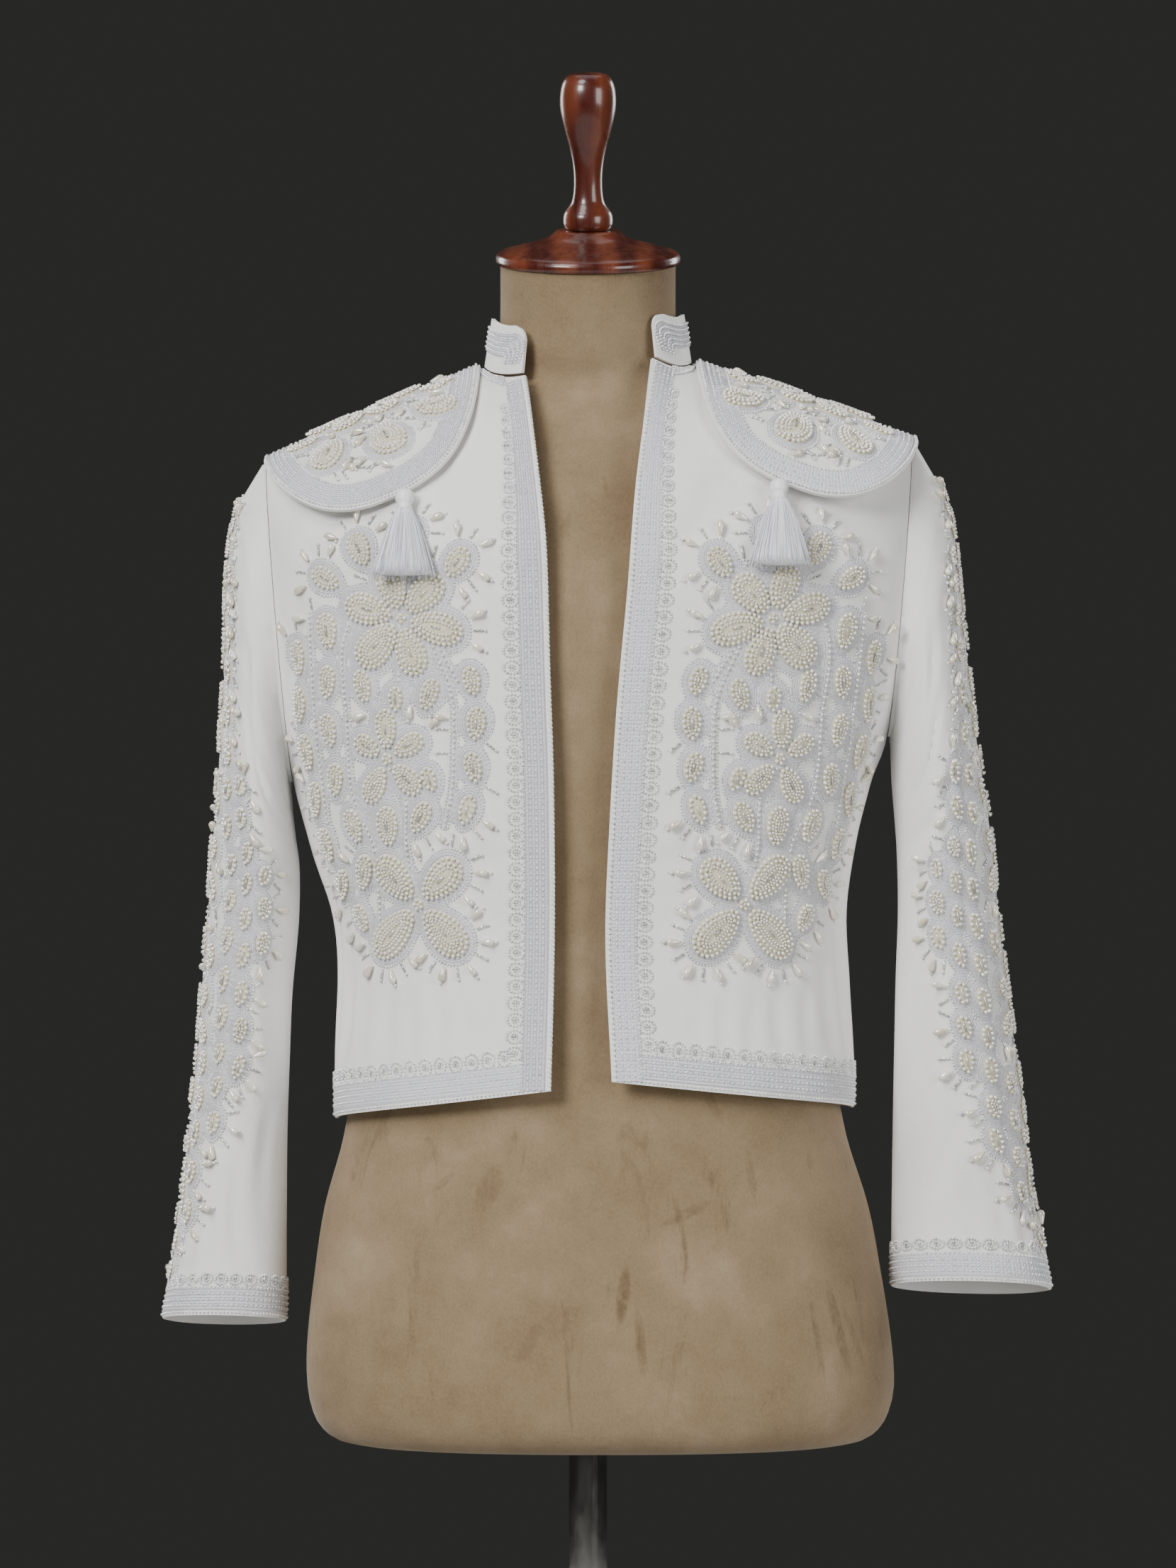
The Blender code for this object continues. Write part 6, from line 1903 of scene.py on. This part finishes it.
def tassel_skirt(verts, faces, tones, chance):
    """The mass of silk behind the loose strands, grooved and flaring."""
    base = len(verts)
    drift = [chance.uniform(0.93, 1.05) for _ in range(SKIRT_SPOKES)]
    for ring in range(SKIRT_RINGS + 1):
        t = 0.95 * ring / SKIRT_RINGS
        width = mix(SKIRT_ROOT, SKIRT_WIDTH, t ** SKIRT_FLARE)
        depth = mix(SKIRT_ROOT, SKIRT_DEPTH, t ** SKIRT_FLARE)
        for i in range(SKIRT_SPOKES):
            turn = 2 * math.pi * i / SKIRT_SPOKES
            size = drift[i] * (1 + chance.uniform(-0.012, 0.012))
            verts.append((width * size * math.cos(turn), depth * size * math.sin(turn),
                          -SKIRT_TOP - SKIRT_LENGTH * t))
            tones.append((drift[i] - 0.93) / 0.12)
    faces += ring_faces(base, SKIRT_RINGS, SKIRT_SPOKES)
    hub = len(verts)
    verts.append((0.0, 0.0, -SKIRT_BELLY))
    tones.append(0.6)
    last = base + SKIRT_RINGS * SKIRT_SPOKES
    faces += [(last + i, hub, last + (i + 1) % SKIRT_SPOKES) for i in range(SKIRT_SPOKES)]


def tassel_strand(verts, faces, tones, chance, inner):
    turn = chance.uniform(0, 2 * math.pi)
    share = math.sqrt(chance.random()) if inner else 1.0
    c, s = share * math.cos(turn), share * math.sin(turn)
    root = Vector((STRAND_ROOT * c, STRAND_ROOT * s, -SKIRT_TOP))
    length = STRAND_LENGTH * (1 - 0.06 * chance.random() ** 2)
    end = Vector((STRAND_WIDTH * c + chance.uniform(-1, 1) * 1.0 * MM,
                  STRAND_DEPTH * s + chance.uniform(-1, 1) * 0.6 * MM, -SKIRT_TOP - length))
    bow = Vector((chance.uniform(-1, 1) * 0.7 * MM, chance.uniform(-1, 1) * 0.4 * MM, 0))
    tone = chance.random() ** 1.8
    radius = STRAND_RADIUS * chance.uniform(0.8, 1.15)
    base = len(verts)
    for k in range(STRAND_STEPS + 1):
        t = k / STRAND_STEPS
        spread = t ** SKIRT_FLARE
        here = Vector((mix(root.x, end.x, spread), mix(root.y, end.y, spread), mix(root.z, end.z, t)))
        here += bow * math.sin(math.pi * t)
        size = radius * (1 - 0.35 * t ** 3)
        for corner in range(STRAND_CORNERS):
            around = 2 * math.pi * corner / STRAND_CORNERS + turn
            verts.append((here.x + size * math.cos(around), here.y + size * math.sin(around), here.z))
            tones.append(tone)
    faces += ring_faces(base, STRAND_STEPS, STRAND_CORNERS)
    tip = base + STRAND_CORNERS * STRAND_STEPS
    faces.append((tip, tip + 2, tip + 1))


def make_tassel(side):
    """A wound head, a skirt of silk, and fine strands laid over it."""
    chance = random.Random(3 + SIDES[side])
    top = Vector(flap_point(side, TASSEL_ALONG[side], FLAP_HALF_DROP)) + Vector(TASSEL_SEAT)
    place = np.array(Matrix.Translation(top) @ Matrix.Rotation(math.radians(-TASSEL_LEAN), 4, "X"))
    verts, faces, tones = [], [], []
    tassel_head(verts, faces, tones)
    tassel_skirt(verts, faces, tones, chance)
    for strand in range(TASSEL_STRANDS):
        tassel_strand(verts, faces, tones, chance, inner=strand % 5 == 0)
    verts = np.array(verts) @ place[:3, :3].T + place[:3, 3]
    add_piece(f"tassel_{side}_silk", verts, faces, "silk", tones=tones, replaces=[f"tassel_{side}"])


# Form and stand

FORM_STEP = 0.009
FORM_SPOKES = 104


def make_form():
    """The padded body, in rings a few millimetres apart."""
    heights = []
    for low, high in zip(FORM.rows, FORM.rows[1:]):
        steps = max(2, int((high[0] - low[0]) / FORM_STEP))
        heights += [mix(low[0], high[0], i / steps) for i in range(steps)]
    heights.append(FORM.rows[-1][0])
    spokes = FORM_SPOKES
    turns = 2 * np.pi * np.arange(spokes) / spokes
    rings = []
    for height in heights:
        half, front, back, sway, slant, power = (
            FORM.at(height, name) for name in ("half_width", "front", "back", "sway", "slant", "power"))
        c, s = np.cos(turns), np.sin(turns)
        x = half * np.sign(c) * np.abs(c) ** power + sway
        y = np.where(s > 0, back, front) * np.sign(s) * np.abs(s) ** power
        rings.append(np.stack([x, y, height + slant * y], axis=-1))
    grid = np.array(rings)
    index = np.arange(grid.shape[0] * spokes).reshape(-1, spokes)
    faces = [tuple(face) for face in quads(np.concatenate([index, index[:, :1]], axis=1))]
    mesh = bpy.data.meshes.new("dress_form_cover")
    made = bmesh.new()
    verts = [made.verts.new(point) for point in grid.reshape(-1, 3)]
    for face in faces:
        made.faces.new([verts[i] for i in face])
    made.faces.new(verts[:spokes])
    made.faces.new(verts[-spokes:])
    bmesh.ops.recalc_face_normals(made, faces=made.faces)
    made.to_mesh(mesh)
    made.free()
    finish_plain(mesh, "dress_form_cover", "suede", "dress_form")


def finish_plain(mesh, name, finish, node):
    mesh.shade_smooth()
    mesh.set_sharp_from_angle(angle=math.radians(50))
    mesh.materials.append(FINISHES[finish])
    piece = bpy.data.objects.new(name, mesh)
    bpy.context.scene.collection.objects.link(piece)
    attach(piece, "root")
    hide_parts(node)
    return piece


def make_turned(name, profile, finish, steps, node, place=Matrix.Identity(4)):
    made = bmesh.new()
    rings = []
    for radius, height in profile:
        if radius == 0:
            rings.append([made.verts.new((0, 0, height))])
        else:
            rings.append([made.verts.new((radius * math.cos(2 * math.pi * i / steps),
                                          radius * math.sin(2 * math.pi * i / steps), height))
                          for i in range(steps)])
    for low, high in zip(rings, rings[1:]):
        for i in range(steps):
            j = (i + 1) % steps
            corners = [low[i % len(low)], low[j % len(low)], high[j % len(high)], high[i % len(high)]]
            unique = list(dict.fromkeys(corners))
            if len(unique) > 2:
                made.faces.new(unique)
    bmesh.ops.recalc_face_normals(made, faces=made.faces)
    made.transform(place)
    mesh = bpy.data.meshes.new(name)
    made.to_mesh(mesh)
    made.free()
    return finish_plain(mesh, name, finish, node)


def make_stand():
    make_turned("base_disc", BASE_PROFILE, "base", 96, "base")
    lean = Matrix.Rotation(math.radians(CAP_TILT), 4, "X")
    seat = Matrix.Translation((0, 0, NECK_TOP + CAP_SEAT_GAP)) @ lean
    make_turned("neck_cap_wood", rounded(CAP_PROFILE), "wood", 72, "neck_cap", seat)
    make_turned("handle_wood", rounded(HANDLE_PROFILE), "wood", 48, "handle", seat)
    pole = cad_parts["pole"]
    for slot in pole.material_slots:
        slot.material = FINISHES["chrome"]


def rounded(profile, steps=3):
    """A profile with more points, on a smooth curve; its flat ends stay."""
    points = np.array(profile[1:-1])
    padded = np.concatenate([points[:1], points, points[-1:]])
    made = [profile[0]]
    for i in range(1, len(padded) - 2):
        a, b, c, d = padded[i - 1:i + 3]
        for t in np.linspace(0, 1, steps, endpoint=False):
            made.append(tuple(0.5 * (2 * b + (c - a) * t + (2 * a - 5 * b + 4 * c - d) * t**2
                                     + (3 * b - a - 3 * c + d) * t**3)))
    return made + [tuple(points[-1]), profile[-1]]


# The cloth pieces

def grid_uvs(cloth):
    return np.stack([cloth.across, cloth.up], axis=-1)


def make_fronts():
    hem_cords = Strips()
    for side in SIDES:
        cloth = front_cloth(side)
        piece = add_shell(f"front_{side}_cloth", cloth.points, cloth.normals, CLOTH, grid_uvs(cloth),
                          "cloth", [f"front_{side}"])
        heap = bead_front(side, cloth)
        side_hem = front_bands(side, cloth, heap)
        hem_cords.verts += side_hem.verts
        hem_cords.uvs += side_hem.uvs
        hem_cords.faces += [faces + hem_cords.count for faces in side_hem.faces]
        hem_cords.count += side_hem.count
        heap.make(f"front_{side}")
    cloth = back_cloth()
    piece = add_shell("back_cloth", cloth.points, cloth.normals, CLOTH, grid_uvs(cloth), "cloth", ["back"])
    heap = Heap(91)
    back_bands(cloth, heap, hem_cords)
    hem_cords.make("hem_braid_cords", "braid", ["hem_braid"])
    heap.make("back")


def make_sleeves():
    for side in SIDES:
        cloth = sleeve_cloth(side)
        piece = add_shell(f"sleeve_{side}_cloth", cloth.points[:, :-1], cloth.normals[:, :-1], CLOTH,
                          grid_uvs(cloth)[:, :-1], "cloth", [f"sleeve_{side}"], closed=True)
        heap = bead_sleeve(side, cloth)
        cuff_bands(side, cloth, heap)
        heap.make(f"sleeve_{side}")


def make_flaps():
    for side in SIDES:
        cloth = flap_cloth(side)
        turns = np.linspace(0, 2 * math.pi, 120, endpoint=False)
        shares = np.concatenate([[0.002], np.linspace(0.05, 1.0, 24)])
        places = np.array([flap_outline(share, turns) for share in shares])
        points, normals = cloth.frames(places)
        piece = add_shell(f"flap_{side}_cloth", points, normals, FLAP_WALL, places, "cloth",
                          [f"flap_{side}"], closed=True)
        heap = bead_flap(side, cloth)
        flap_bands(side, cloth, heap)
        heap.make(f"flap_{side}")
        make_tassel(side)


def make_collar():
    cloth = collar_cloth()
    piece = add_shell("collar_cloth", cloth.points, cloth.normals, COLLAR_WALL, grid_uvs(cloth),
                      "cloth", ["collar"])
    bead_collar(cloth)


# Stage, light and camera

# The floor ends just below the photograph's lower edge
FLOOR_RADIUS = 2.0
FLOOR_SPOKES = 180
STUDIO_GREY = (0.027, 0.0275, 0.025)
# Lights: name, place, target, size and power
LIGHTS = (
    ("key", (-1.9, -3.0, 2.4), (0, 0, 0.85), (1.2, 1.2), 128),
    ("fill", (2.7, -2.7, 1.3), (0, 0, 0.75), (1.6, 2.0), 70),
    ("back_left", (-2.3, 2.4, 1.9), (0, 0, 0.9), (1.0, 1.8), 46),
    ("back_right", (2.3, 2.4, 1.9), (0, 0, 0.9), (1.0, 1.8), 46),
    ("top", (0, 0.2, 3.1), (0, 0, 0.9), (1.6, 1.6), 8))
SUN_STRENGTH, SUN_SPREAD, SUN_TURN = 1.3, 24, (42, 0, -34)


def add_light(name, place, target, size, power):
    data = bpy.data.lights.new(name, "AREA")
    data.shape = "RECTANGLE"
    data.size, data.size_y = size
    data.energy = power
    lamp = bpy.data.objects.new(name, data)
    lamp.location = place
    lamp.rotation_euler = (Vector(target) - Vector(place)).to_track_quat("-Z", "Y").to_euler()
    bpy.context.scene.collection.objects.link(lamp)


def make_stage():
    mesh = bpy.data.meshes.new("floor")
    turns = [2 * math.pi * i / FLOOR_SPOKES for i in range(FLOOR_SPOKES)]
    rim = [(FLOOR_RADIUS * math.cos(turn), FLOOR_RADIUS * math.sin(turn), 0) for turn in turns]
    mesh.from_pydata(rim, [], [tuple(range(FLOOR_SPOKES))])
    mesh.materials.append(floor_finish())
    floor = bpy.data.objects.new("floor", mesh)
    floor.location.z = -0.0005
    bpy.context.scene.collection.objects.link(floor)
    world = bpy.data.worlds.new("studio")
    bpy.context.scene.world = world
    world.use_nodes = True
    background = world.node_tree.nodes["Background"]
    background.inputs["Color"].default_value = (*STUDIO_GREY, 1.0)
    background.inputs["Strength"].default_value = 1.0
    for name, place, target, size, power in LIGHTS:
        add_light(name, place, target, size, power)
    sun = bpy.data.lights.new("sun", "SUN")
    sun.energy, sun.angle = SUN_STRENGTH, math.radians(SUN_SPREAD)
    lamp = bpy.data.objects.new("sun", sun)
    lamp.rotation_euler = [math.radians(turn) for turn in SUN_TURN]
    bpy.context.scene.collection.objects.link(lamp)


def make_camera():
    data = bpy.data.cameras.new("camera")
    data.sensor_width = SENSOR
    data.lens = SENSOR * CAMERA_DISTANCE / PICTURE_HEIGHT
    camera = bpy.data.objects.new("camera", data)
    camera.location = (0, -CAMERA_DISTANCE, CAMERA_HEIGHT)
    camera.rotation_euler = (math.pi / 2, 0, 0)
    bpy.context.scene.collection.objects.link(camera)
    bpy.context.scene.camera = camera


make_camera()
make_form()
make_stand()
make_fronts()
make_sleeves()
make_collar()
make_flaps()
make_stage()
